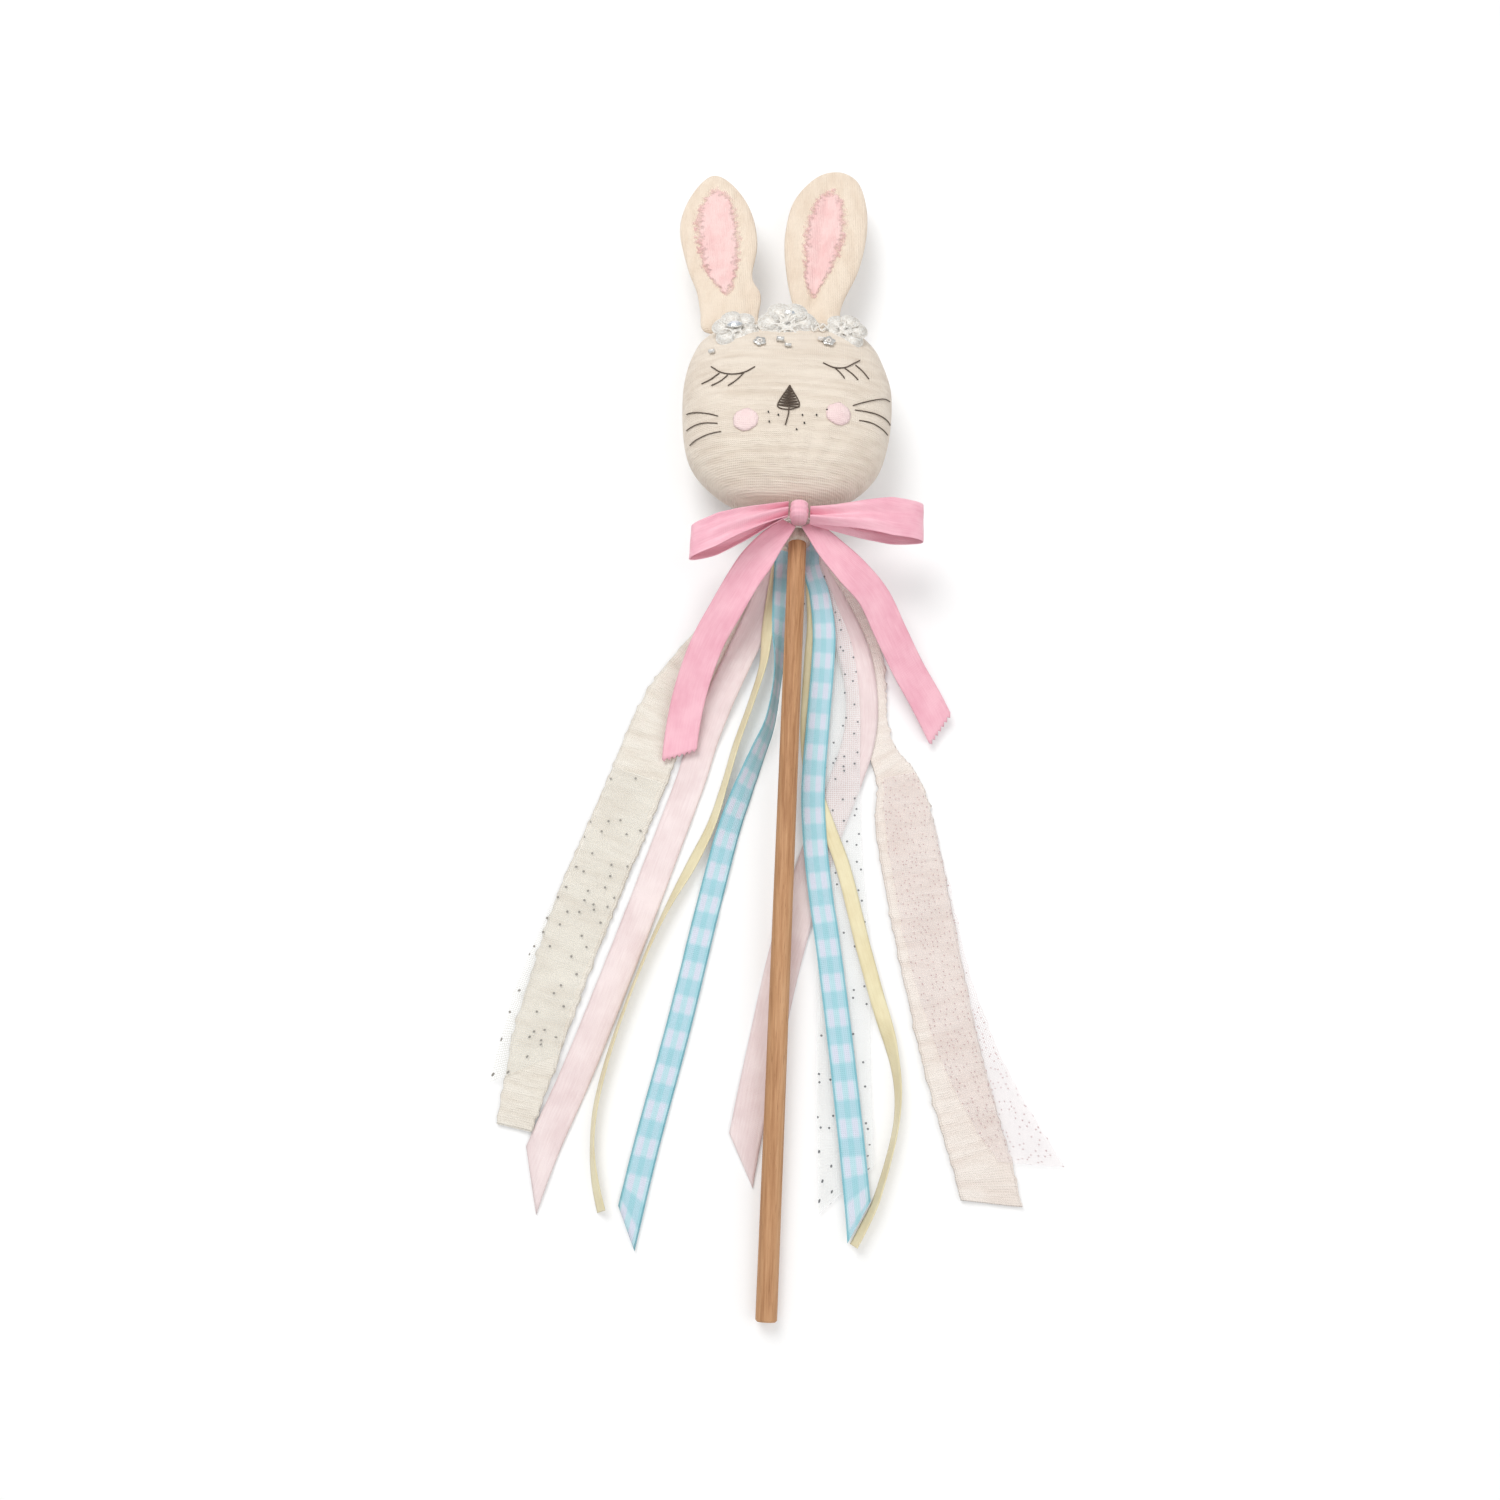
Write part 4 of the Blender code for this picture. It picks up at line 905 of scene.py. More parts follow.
floss("whiskers", [
    [(-52.0, 106.6), (-45.0, 103.6), (-37.4, 99.8)], [(-51.6, 98.7), (-44.0, 98.2), (-37.4, 96.4)],
    [(-49.6, 91.0), (-42.0, 92.2), (-35.6, 92.4)],
    [(21.6, 107.6), (30.0, 113.0), (39.0, 119.2)], [(22.6, 105.7), (31.2, 107.0), (39.4, 107.8)],
    [(24.6, 101.1), (31.0, 101.8), (38.2, 101.9)]], 0.24, FACE_THREAD)
floss("freckles", [
    [(x - 0.25, y), (x + 0.25, y + 0.2)] for x, y in (
        (-15.3, 100.2), (-11.0, 98.9), (-14.7, 95.7), (-0.4, 99.4), (5.7, 100.2), (0.5, 95.5),
        (-2.6, 92.6), (10.2, 103.0))], 0.45, BLACK_PRINT)


# %% [markdown]
# Each cheek is a thin round patch that is brushed at its edge. It follows the head.

# %% Cheeks
CHEEK_LIFT = 0.0006


def make_cheek(side):
    low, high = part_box(f"cheek_{side}")
    cx, cy = (low[0] + high[0]) / 2, (low[1] + high[1]) / 2
    radius = (high[0] - low[0]) / 2
    verts, faces = [on_head(cx, cy, CHEEK_LIFT)[0]], []
    rings, sides = 6, 40
    for r in range(1, rings + 1):
        share = r / rings
        for k in range(sides):
            angle = 2 * math.pi * k / sides
            x, y = math.cos(angle), math.sin(angle)
            reach = radius * share * (1 + 0.12 * fractal(x * 3, y * 3, 5))
            lift = CHEEK_LIFT - 0.00045 * share ** 4
            verts.append(on_head(cx + reach * x, cy + reach * y, lift)[0])
    for k in range(sides):
        faces.append((0, 1 + k, 1 + (k + 1) % sides))
        for r in range(rings - 1):
            a, b = 1 + r * sides + k, 1 + r * sides + (k + 1) % sides
            faces.append((a, a + sides, b + sides, b))
    cheek = mesh_object(f"cheek_{side}_patch", verts, faces,
                        in_cm(verts), CHEEK_PINK)
    face_up(cheek)
    apply_modifier(cheek, "SOLIDIFY", thickness=0.0004, offset=0.0)
    sew_on(cheek, "pink_cloth", f"cheek_{side}")


make_cheek("left")
make_cheek("right")
print("face sewn on")

# %% [markdown]
# ## Crown
#
# Three lace flowers and a short lace run sit on the top of the head. A petal is a looped cord
# round a thin web, and each flower is a ring of petals. Two have a stone in the middle; the
# stitched eyes of the others are not made. Two flower-shaped sequins and a few beads lie below them.

# %% Small sewn trims
def facing(outward):
    """Turn that points a piece's own Z outward."""
    return outward.to_track_quat("Z", "Y").to_matrix()


def join(name, pieces):
    """Make one object of several, with the first one's finish order kept."""
    bpy.ops.object.select_all(action="DESELECT")
    for piece in pieces:
        piece.select_set(True)
    bpy.context.view_layer.objects.active = pieces[0]
    bpy.ops.object.join()
    pieces[0].name = name
    return pieces[0]


def tube(name, points, radius, material, closed=False, sides=6):
    """A thread along points in metres, as a mesh with a round section."""
    verts, faces = [], []
    count = len(points)
    for i, point in enumerate(points):
        before = points[i - 1] if closed or i else point
        after = points[(i + 1) % count] if closed or i < count - 1 else point
        along = (after - before).normalized()
        side = along.cross(Vector((0, 0, 1)))
        side = side.normalized() if side.length > 1e-4 else Vector((1, 0, 0))
        up = side.cross(along)
        for k in range(sides):
            angle = 2 * math.pi * k / sides
            verts.append(point + (side * math.cos(angle) + up * math.sin(angle)) * radius)
    for i in range(count if closed else count - 1):
        for k in range(sides):
            a, b = i * sides + k, i * sides + (k + 1) % sides
            j = ((i + 1) % count) * sides
            faces.append((a, b, j + (k + 1) % sides, j + k))
    if not closed:
        faces += [tuple(range(sides))[::-1], tuple(range((count - 1) * sides, count * sides))]
    return mesh_object(name, verts, faces, in_cm(verts), material)


def lace_flower(name, nodes, cx, cy, radius, petals, low, high, turn=0.0):
    """A flower of corded petals that stands low at its edge and high in its middle."""
    spot, outward = on_head(cx * MM, cy * MM)
    outward = (outward * 0.35 + Vector((0, -0.1, 0.75))).normalized()
    basis = facing(outward)
    parts = []
    for p in range(petals):
        angle = 2 * math.pi * p / petals + turn
        ring = []
        for s in range(20):
            t = 2 * math.pi * s / 20
            reach = radius * (0.62 + 0.38 * math.cos(t))
            sway = radius * 0.40 * math.sin(t)
            height = high + (low - high) * (reach / radius) + 0.25 * math.sin(t * 2 + p)
            flat = Vector((reach * math.cos(angle) - sway * math.sin(angle),
                           reach * math.sin(angle) + sway * math.cos(angle), height)) * MM
            ring.append(spot + basis @ flat)
        parts.append(tube(f"{name}_petal", ring, 0.42 * MM, LACE, closed=True))
        verts = [spot + basis @ Vector((0.0, 0.0, high * MM - 0.0002))] + ring
        web = mesh_object(f"{name}_web", verts,
                          [(0, 1 + s, 1 + (s + 1) % 20) for s in range(20)],
                          in_cm(verts), LACE)
        apply_modifier(web, "SOLIDIFY", thickness=0.8 * MM, offset=0.0)
        parts.append(web)
    flower = join(name, parts)
    sew_on(flower, "lace", *nodes)
    return flower


lace_flower("lace_left", ["flower_left"], -32.3, 147.6, 10.6, 6, 0.8, 2.6, 0.3)
lace_flower("lace_center_lower", ["flower_center_lower"], -8.8, 150.5, 13.4, 7, 0.7, 2.2, 0.1)
lace_flower("lace_center_upper", ["flower_center_upper"], -8.4, 154.6, 8.6, 5, 2.4, 4.0, 0.6)
lace_flower("lace_right", ["flower_right"], 17.6, 149.6, 10.2, 6, 0.8, 2.8, 0.0)


def gem(name, node, cx, cy, half_long, half_wide, turn, rise):
    """An oval cut stone in a thin metal rim, standing on the lace."""
    spot, outward = on_head(cx * MM, cy * MM, rise * MM)
    basis = facing(outward) @ Matrix.Rotation(turn, 3, "Z")
    rings = [(1.0, 0.0), (0.96, 0.7), (0.62, 1.5)]
    sides, verts = 16, []
    for share, height in rings:
        for k in range(sides):
            angle = 2 * math.pi * k / sides
            cut = Vector((share * half_long * math.cos(angle),
                          share * half_wide * math.sin(angle), height))
            verts.append(spot + basis @ (cut * MM))
    faces = grid_faces(3, sides, closed=True) + end_caps(3, sides)[::-1]
    stone = mesh_object(f"{name}_stone", verts, faces, [(0.0, 0.0)] * len(verts), STONE)
    stone.data.shade_flat()
    rim_points = [spot + basis @ (Vector((1.06 * half_long * math.cos(2 * math.pi * k / 24),
                                          1.10 * half_wide * math.sin(2 * math.pi * k / 24),
                                          0.25)) * MM) for k in range(24)]
    rim = tube(f"{name}_rim", rim_points, 0.38 * MM, SILVER, closed=True)
    gem_piece = join(name, [stone, rim])
    sew_on(gem_piece, "crystal", node)


gem("stone_left", "crystal_left", -32.3, 147.6, 3.4, 2.3, math.radians(-20), 2.6)
gem("stone_center", "crystal_center", -8.4, 155.4, 3.0, 1.9, 0.1, 4.0)


def lace_run(name, points, seed):
    """A scalloped cord that ties two flowers together."""
    line = smooth(points, 10)
    curve = []
    for i, (x, y) in enumerate(line):
        spot, outward = on_head(x * MM, y * MM, (1.0 + 0.5 * math.sin(i * 0.9 + seed)) * MM)
        curve.append(spot + Vector((0, 1.1 * MM * math.sin(i * 0.7 + seed), 0)))
    cord = tube(name, curve, 0.42 * MM, LACE)
    sew_on(cord, "lace")


lace_run("lace_run_left", [(-23.0, 147.0), (-18.5, 149.0), (-15.0, 149.5)], 0.0)
lace_run("lace_run_right", [(2.0, 148.0), (6.0, 147.5), (9.5, 148.5)], 2.0)
lace_run("lace_run_upper", [(2.6, 151.5), (6.2, 151.8), (9.0, 151.0)], 4.0)


def sequin(name, node, cx, cy, radius, material):
    """A small five-petal sequin with a bead in its middle."""
    spot, outward = on_head(cx * MM, cy * MM, 0.5 * MM)
    basis = facing(outward)
    rim, sides = [], 40
    for k in range(sides):
        angle = 2 * math.pi * k / sides
        reach = radius * (0.72 + 0.28 * abs(math.cos(2.5 * angle)))
        rim.append(spot + basis @ (Vector((reach * math.cos(angle), reach * math.sin(angle),
                                           0.35)) * MM))
    verts = [spot + basis @ (Vector((0, 0, -0.1)) * MM)] + rim
    cup = mesh_object(f"{name}_cup", verts, [(0, 1 + k, 1 + (k + 1) % sides) for k in range(sides)],
                      [(0.0, 0.0)] * len(verts), material)
    apply_modifier(cup, "SOLIDIFY", thickness=0.35 * MM, offset=0.0)
    ring = [spot + basis @ (Vector((0.9 * math.cos(k / 12 * 2 * math.pi),
                                    0.9 * math.sin(k / 12 * 2 * math.pi), 0.6)) * MM)
            for k in range(12)]
    eye = tube(f"{name}_eye", ring, 0.45 * MM, WHITE_THREAD, closed=True)
    piece = join(name, [cup, eye])
    sew_on(piece, "silver", *([node] if node else []))


sequin("sequin_left_flower", "sequin_left", -20.8, 138.5, 3.0, SILVER)
sequin("sequin_right_flower", "sequin_right", 10.0, 140.5, 3.2, SILVER)


def bead(name, node, points, radius, material):
    """A bugle or seed bead, sewn down along a short line in plan."""
    curve = [on_head(x * MM, y * MM, (radius + 0.2) * MM)[0] for x, y in points]
    piece = tube(name, curve, radius * MM, material, sides=10)
    sew_on(piece, "silver", *([node] if node else []))


bead("bead_row", "bead_center", [(-13.2, 139.9), (-11.6, 139.6), (-10.0, 139.4)], 1.1, SILVER)
bead("bead_bugle", None, [(-9.6, 136.6), (-8.2, 136.4), (-6.6, 136.4)], 0.8, SILVER)
bead("bead_low", None, [(-43.0, 134.9), (-41.8, 134.7), (-40.6, 134.7)], 0.9, SILVER)
bead("bead_right", None, [(5.2, 141.3), (6.3, 141.0), (7.6, 141.0)], 0.9, WHITE_THREAD)
print("crown sewn on")

# %% [markdown]
# ## Neck
#
# The head's hem is drawn together round the stick and tied. The gather is a sleeve whose
# radius swings with the folds, and the thread is a ring of several turns.

# %% Neck
def make_neck():
    low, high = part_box("neck_gather")
    axis = Vector(((low.x + high.x) / 2, 0.0, (low.z + high.z) / 2))
    verts = []
    rings, sides = 15, 120
    for r in range(rings + 1):
        t = r / rings
        y = low.y + (high.y - low.y) * t
        for k in range(sides):
            angle = 2 * math.pi * k / sides
            folds = 0.55 * math.sin(angle * 17 + 2.0 * fractal(math.cos(angle), math.sin(angle), 3))
            waist = 1.0 - 0.22 * math.exp(-((t - 0.45) / 0.22) ** 2)
            radius = (high.x - low.x) / 2 * (0.90 + 0.035 * folds) * waist
            verts.append(Vector((axis.x + radius * math.cos(angle), y,
                                 axis.z + radius * math.sin(angle))))
    faces = grid_faces(rings + 1, sides, closed=True) + end_caps(rings + 1, sides)
    # The sleeve's darker gauze is painted shade, not a different cloth.
    gather = mesh_object("neck_folds", verts, faces, in_cm(verts),
                         GATHER_GAUZE_SHADED)
    sew_on(gather, "linen", "neck_gather")
    low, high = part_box("neck_thread")
    turns, points = 4, []
    radius = (high.x - low.x) / 2 - 0.0008
    for k in range(turns * 24 + 1):
        angle = 2 * math.pi * k / 24
        points.append(Vector(((low.x + high.x) / 2 + radius * math.cos(angle),
                              low.y + 0.0008 + (high.y - low.y - 0.0016) * k / (turns * 24),
                              (low.z + high.z) / 2 + radius * math.sin(angle))))
    wrap = tube("neck_wrap", points, 0.0007, WHITE_THREAD)
    sew_on(wrap, "thread", "neck_thread")


make_neck()
print("neck tied")

# %% [markdown]
# ## Bow
#
# The bow is one satin ribbon: a loop to each side, a knot over the middle, and two tails. A
# loop is a band that goes out, turns over and comes back, with soft creases that fan from the
# knot. The knot wraps them with three folds.

# %% [markdown]
# A loop's band is a grid too: rows go round the fold and columns go across the ribbon.

# %% Bow loops
def bow_loop(side, low, high, seed):
    """A folded loop from its box: the band runs round the box and narrows at the knot."""
    sign = -1.0 if side == "left" else 1.0
    near_x = high.x if side == "left" else low.x
    reach = high.x - low.x
    rows, columns = 96, 18
    verts, uvs = [], []
    mid_z = (low.z + high.z) / 2
    half_z = (high.z - low.z) / 2 - 0.0006
    tilt = {"left": -0.40, "right": -0.06}[side]
    start_y = {"left": 57.8, "right": 58.2}[side] * MM
    width_near, width_far = 0.0075, {"left": 0.0165, "right": 0.0185}[side]
    for r in range(rows + 1):
        t = r / rows
        angle = math.pi * (1 - 2 * t)
        out = (1 + math.cos(angle)) / 2
        far = out ** 0.8
        z_here = math.sin(angle) * half_z * (0.30 + 0.70 * min(1.0, 1.6 * out ** 0.5))
        width = width_near + (width_far - width_near) * min(1.0, 1.5 * out)
        for k in range(columns + 1):
            share = 2.0 * k / columns - 1.0
            fan = math.exp(-out * 2.6)
            crease = 0.0016 * math.sin(share * 5.5 + seed) * (0.25 + fan)
            crease += 0.0007 * fractal(share * 2.0 + seed, out * 3.0, seed)
            x = near_x + sign * reach * (far * 0.985 + 0.01)
            y = start_y + reach * far * tilt + share * width / 2
            y += 0.0012 * math.sin(3.0 * out + seed) * (1 - out)
            verts.append(Vector((x, y, mid_z + z_here + crease)))
            uvs.append(((share + 1) / 2 * width * 100, t * reach * 200))
    faces = grid_faces(rows + 1, columns + 1)
    loop = mesh_object(f"bow_{side}_loop", verts, faces, uvs, BOW_SATIN)
    face_up(loop)
    apply_modifier(loop, "SOLIDIFY", thickness=0.5 * MM, offset=0.0)
    apply_modifier(loop, "SUBSURF", levels=1, render_levels=1)
    sew_on(loop, "satin", f"bow_loop_{side}")


def make_knot():
    low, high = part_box("bow_knot")
    middle, half = (low + high) / 2, (high - low) / 2
    verts, rings, sides = [], 24, 40
    for r in range(rings + 1):
        t = 2.0 * r / rings - 1.0
        for k in range(sides):
            angle = 2 * math.pi * k / sides
            swell = 1.0 - 0.16 * abs(t) ** 3
            fold = 1.0 + 0.05 * math.sin(3.0 * (t * 3.2 + 0.4 * math.sin(angle)))
            section = (abs(math.cos(angle)) ** 2.6 + abs(math.sin(angle)) ** 2.6) ** (-1 / 2.6)
            verts.append(Vector((middle.x + half.x * math.cos(angle) * section * swell * fold,
                                 middle.y + half.y * t,
                                 middle.z + half.z * math.sin(angle) * section * swell * fold)))
    faces = grid_faces(rings + 1, sides, closed=True) + end_caps(rings + 1, sides)
    knot = mesh_object("bow_knot_cloth", verts, faces, in_cm(verts),
                       BOW_SATIN)
    sew_on(knot, "satin", "bow_knot")


make_knot()
for side in ("left", "right"):
    loop_low, loop_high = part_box(f"bow_loop_{side}")
    bow_loop(side, loop_low, loop_high, 1.3 if side == "left" else 4.1)
print("bow loops folded")

# %% [markdown]
# ## Ribbons that hang from the bow
# Each ribbon runs from the neck over its hinge line. A ribbon without a hinge is fixed to the body
# it stays with; one with a hinge only has its placement baked into its mesh, with no blend there. The
# part before the line stays with the
# wand and the rest turns with its own body, so the cloth is blended over a short zone there.
# Two ribbons cross two hinges: each is made as two strips that share the row where they meet,
# inside the stretch that stays rigid.

# %% Make a ribbon
RUMPLE = 0.8
SATIN_THICK = 0.5
RIBBON_THICK = 0.4
GAUZE_THICK = 0.9
NET_THICK = 0.2
TULLE_THICK = 0.15
TULLE_RISE = 0.5


def hinge_zone(piece, stays, moves, x, y, z):
    """Bake a strip's placement into its mesh. The bodies and the hinge point are not used."""
    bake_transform(piece)


def ribbon(name, route, material, thickness, stays, moves, hinge, nodes, finish, cord=False,
           rests=("floor",), **shape):
    """A strip that hides the solids it stands for and prints its flat size. Without a hinge it is
    fixed to the body it stays with.
    """
    piece, length, width, centre = strip(name, route, material, thickness, **shape)
    if hinge is None:
        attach(piece, stays)
    else:
        hinge_zone(piece, stays, moves, *hinge)
    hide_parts(*nodes)
    print(name, "flat", round(width * 1000, 1), "by", round(length * 1000), "mm")
    return piece


# %% [markdown]
# The floor is a plain pale sheet. It is lifted to white only where a camera, glossy or clear ray
# meets it, so that it keeps the wand's shadow.

# %% Floor
FLOOR_TONE = 0.80
bpy.ops.mesh.primitive_plane_add(size=1.0)
floor = bpy.context.object
floor.name = "floor"
floor.data.transform(Matrix.Diagonal((6.0, 6.0, 1.0, 1.0)) @ Matrix.Translation((0, 0, -0.0004)))
ground = Nodes("white_floor", roughness=0.9)
ground.shader.inputs["Base Color"].default_value = (FLOOR_TONE, FLOOR_TONE, FLOOR_TONE, 1.0)
ground.shader.inputs["Specular IOR Level"].default_value = 0.0
path = ground.add("ShaderNodeLightPath")
seen = ground.math("MAXIMUM", ground.math("MAXIMUM", path.outputs["Is Camera Ray"],
                                          path.outputs["Is Glossy Ray"]),
                   path.outputs["Is Transmission Ray"])
ground.shader.inputs["Emission Color"].default_value = (1.0, 1.0, 1.0, 1.0)
ground.link(ground.math("MULTIPLY", seen, 1.0 - FLOOR_TONE), ground.shader.inputs["Emission Strength"])
floor.data.materials.append(ground.material)

# %% [markdown]
# The bow's tails come first, then the ribbons on the left, then those in the middle and on the
# right. A route's numbers are millimetres and degrees.

# %% Bow tails
tail_left_route = [(-4.6, 56, 26.3, 8, 0), (-7, 52, 26.3, 9, 0), (-12, 46, 25.2, 12, 0),
                   (-17.5, 38, 23.6, 14.5, 0), (-22.5, 30, 22, 14.5, 0),
                   (-29.5, 17, 18.5, 14.5, 0), (-37, 3, 13, 14.5, 0), (-43, -16, 7.4, 14.5, 0),
                   (-46, -35, 3.8, 14.5, 0), (-46.8, -55, 2.6, 14.5, 0)]
tail_right_route = [(4.8, 56, 26.3, 8, 0), (8, 51.5, 26.3, 9, 0), (14, 45, 25, 12, 0),
                    (23.5, 35.5, 23.2, 14.5, 0), (34, 25, 19, 14.5, 0), (42, 11, 13.5, 14.5, 0),
                    (50, -3, 8.5, 14.5, 0), (58.5, -17, 5, 14.5, 0), (67.5, -34, 2.4, 14.5, 0)]
ribbon("bow_tail_left", tail_left_route, BOW_SATIN, SATIN_THICK, "wand", "tail_left",
       (-22.5, 30, 23.3), ["tail_left", "tail_left_root"], "satin", columns=14, steps=14,
       cut=((-39, -44), (-55, -50)), pinked=0.7, curl=1.1, seed=1.0)
ribbon("bow_tail_right", tail_right_route, BOW_SATIN, SATIN_THICK, "wand", "tail_right",
       (24.7, 35, 24.6), ["tail_right", "tail_right_root"], "satin", columns=14, steps=14,
       cut=((70, -22), (60.5, -37)), pinked=0.7, curl=1.3, seed=2.0)

# %% Left ribbons
muslin_left_route = [(-7, 58, 15, 7, 0), (-11, 44, 6.4, 11, 0), (-24.5, 22, 2.6, 17, 0),
                     (-38, 2, 1.1, 22, 0), (-51, -20, 0.4, 24, 0), (-59, -41, 0, 24, 0),
                     (-64.5, -60, 0, 24, 0), (-73, -86, 0, 24, 0), (-81.1, -112, 0, 24, 0),
                     (-88, -138, 0, 22, 0), (-94.3, -166, 0, 20, 0), (-100.4, -201, 0, 13.5, 0)]
tulle_left_route = [(-64, -55, 1.2, 21, 0), (-71.5, -80, 1.2, 21, 0), (-78.5, -103, 1.2, 22, 0),
                    (-88, -130, 1.2, 23, 0), (-95, -155, 1.2, 23, 0), (-101, -192, 1.2, 22, 0)]
blush_left_route = [(-6, 58, 9.2, 8, 0), (-9, 45, 8.4, 10, 0), (-15, 22, 5.5, 12.7, 0),
                    (-24, -1, 3.2, 12.7, 0), (-30.8, -19, 2.1, 12.7, 0),
                    (-36.9, -38, 0.5, 12.7, 0), (-41.7, -58, 0, 12.7, 0),
                    (-52.1, -94, 0, 12.7, 0), (-61.8, -127, 0, 12.7, 0), (-77, -176, 0, 12.7, 0),
                    (-88, -207, 0, 12.7, 0), (-95, -232, 0, 12.7, 0)]
yellow_left_route = [(-6, 58, 10, 6, 0), (-8.2, 40, 9.2, 6, 0), (-11.3, 14, 6.2, 6, 30),
                     (-12.6, -3, 4, 6, 55), (-17.1, -20.6, 1.4, 6, 60), (-22.4, -39, 0, 6, 60),
                     (-26.5, -57.4, 0, 6, 60), (-31, -75.4, 0, 6, 50), (-38.2, -93, 0, 6, 40),
                     (-46.3, -110.5, 0, 6, 62), (-53, -127.5, 0, 6, 72), (-60.2, -150, 0, 6, 74),
                     (-66, -172, 0, 6, 70), (-69.2, -191, 0, 6, 68), (-69.3, -206, 0, 6, 70),
                     (-67, -219, 0, 6, 60), (-63.7, -229.5, 0, 6, 55)]
gingham_left_route = [(-6, 58, 10.7, 8, 0), (-5.8, 40, 10.1, 8, 0), (-6.2, 14, 6.9, 9, -40),
                      (-6, -7, 2.6, 10, -70), (-8.4, -29, 1, 10, -68), (-14, -46, 0, 10, -52),
                      (-23.2, -75, 0, 10, -24), (-30.4, -110, 0, 10, 0), (-39.3, -159, 0, 10, 0),
                      (-48.7, -205, 0, 10, 0), (-55.5, -244, 0, 10, 0)]
ribbon("muslin_strip_left", muslin_left_route, MUSLIN_CREAM, GAUZE_THICK, "wand", "muslin_left",
       (-64.5, -58, 1.5), ["muslin_left", "muslin_left_root"], "muslin", columns=14, steps=16,
       ragged=2.4, wave=RUMPLE, curl=0.5, seed=3.0)
ribbon("tulle_upper_left", tulle_left_route, DOT_TULLE, TULLE_THICK, "muslin_left", None, None,
       ["tulle_left"], "tulle", columns=12, steps=12, end_y=-112, ragged=2.6, wave=RUMPLE,
       rise=TULLE_RISE, seed=4.0,
       solid=False)
ribbon("tulle_end_left", tulle_left_route, DOT_TULLE, TULLE_THICK, "muslin_left", "tulle_left_end",
       (-88, -130, 1.5), ["tulle_left_end"], "tulle", columns=12, steps=12, start_y=-112,
       cut=((-86, -174), (-112, -187)), ragged=2.6, wave=RUMPLE, rise=TULLE_RISE, seed=4.0,
       solid=False)
ribbon("blush_strip_left", blush_left_route, BLUSH_SATIN, RIBBON_THICK, "wand", "blush_left",
       (-41.8, -58, 0.4), ["blush_left", "blush_left_root"], "blush", columns=10, steps=16,
       cut=((-90.1, -229.8), (-95.2, -210.6)), wave=RUMPLE, seed=5.0)
ribbon("yellow_strip_left", yellow_left_route, YELLOW_SATIN, RIBBON_THICK, "wand", "yellow_left",
       (-11.7, 8, 9.6), ["yellow_left", "yellow_left_root"], "yellow", cord=True, columns=6,
       steps=14, seed=6.0)
ribbon("gingham_strip_left", gingham_left_route, GINGHAM, RIBBON_THICK, "wand", "gingham_left",
       (-6.1, 8, 13.1), ["gingham_left", "gingham_left_root"], "gingham", columns=10, steps=16,
       cut=((-51.2, -243), (-57.4, -230)), wave=RUMPLE, seed=7.0)

# %% Middle and right ribbons
blush_mid_route = [(6, 58, 8.5, 8, 0), (9, 44, 7.6, 10, 0), (18, 26, 4.8, 13, 0),
                   (27, 6, 2.6, 14, 0), (31, -16, 1.4, 14, 0), (30, -35, 1.3, 14, 0),
                   (25, -53, 0.8, 14, 0), (18.5, -72, 0, 14, 0), (12, -92, 0, 14, 0),
                   (2.5, -127, 0, 14, 0), (-5.5, -170, 0, 13.5, 0), (-10.8, -200, 0, 12.7, 0),
                   (-14, -224, 0, 12.7, 0)]
muslin_right_route = [(7, 58, 7.8, 8, 0), (13, 43, 6.6, 13, 0), (22, 26, 2.6, 17, 0),
                      (29.5, 6, 0.6, 20, 0), (33.5, -14, 0, 16, 0), (36.5, -28, 0, 12, 0),
                      (40.5, -40, 0, 12, 0), (47.5, -54, 0, 18, 0), (50, -71, 0, 24, 0),
                      (56.3, -105.5, 0, 25, 0), (62.8, -138, 0, 24, 0), (70.5, -172, 0, 23, 0),
                      (80.5, -207, 0, 22, 0), (84.5, -224, 0, 22, 0)]
glitter_right_route = [(47.5, -50, 1.2, 13, 0), (48.8, -56, 1.2, 15.5, 0), (52, -72, 1.2, 20, 0),
                       (58.5, -105, 1.2, 22, 0), (66.5, -139, 1.2, 22, 0),
                       (79, -172, 1.2, 22, 0), (92, -194, 1.2, 21, 0), (104, -213, 1.2, 20, 0)]
mesh_right_route = [(6, 58, 9.2, 8, 0), (7, 44, 8.6, 9, 0), (11, 28, 6.3, 14, 0),
                    (17, 5, 4.6, 19, 0), (19.6, -20, 3.1, 21, 0), (20.2, -45, 2.1, 21, 0),
                    (21, -70, 0.7, 21, 0), (22.8, -95, 0.7, 21, 0), (25.2, -120, 0.7, 21, 0),
                    (26.2, -150, 0.7, 21, 0), (26.8, -178, 0.7, 21.5, 0),
                    (28, -202, 0.7, 21.5, 0), (29, -230, 0.7, 21.5, 0)]
yellow_right_route = [(6, 58, 10, 6, 0), (6.6, 44, 9.4, 6, 0), (8.8, 20, 6.6, 6, 0),
                      (8.2, 0, 5.2, 6, 0), (7.6, -30, 3.4, 6, 0), (9.5, -50, 2.5, 6, 0),
                      (13, -62, 2, 6, 0), (18.5, -76, 1.4, 6, 0), (25, -93, 1.4, 6, 0),
                      (32.5, -121, 1.4, 6, 0), (38.8, -143, 1.4, 6, 0), (43.4, -157, 0.6, 6, 30),
                      (46.4, -169, 0, 6, 58), (47.8, -180, 0, 6, 70), (47.4, -191, 0, 6, 76),
                      (45.5, -201, 0, 6, 76), (42.8, -211, 0, 6, 74), (39.4, -221.6, 0, 6, 70),
                      (35.3, -230, 0, 6, 66), (31.6, -237, 0, 6, 66)]
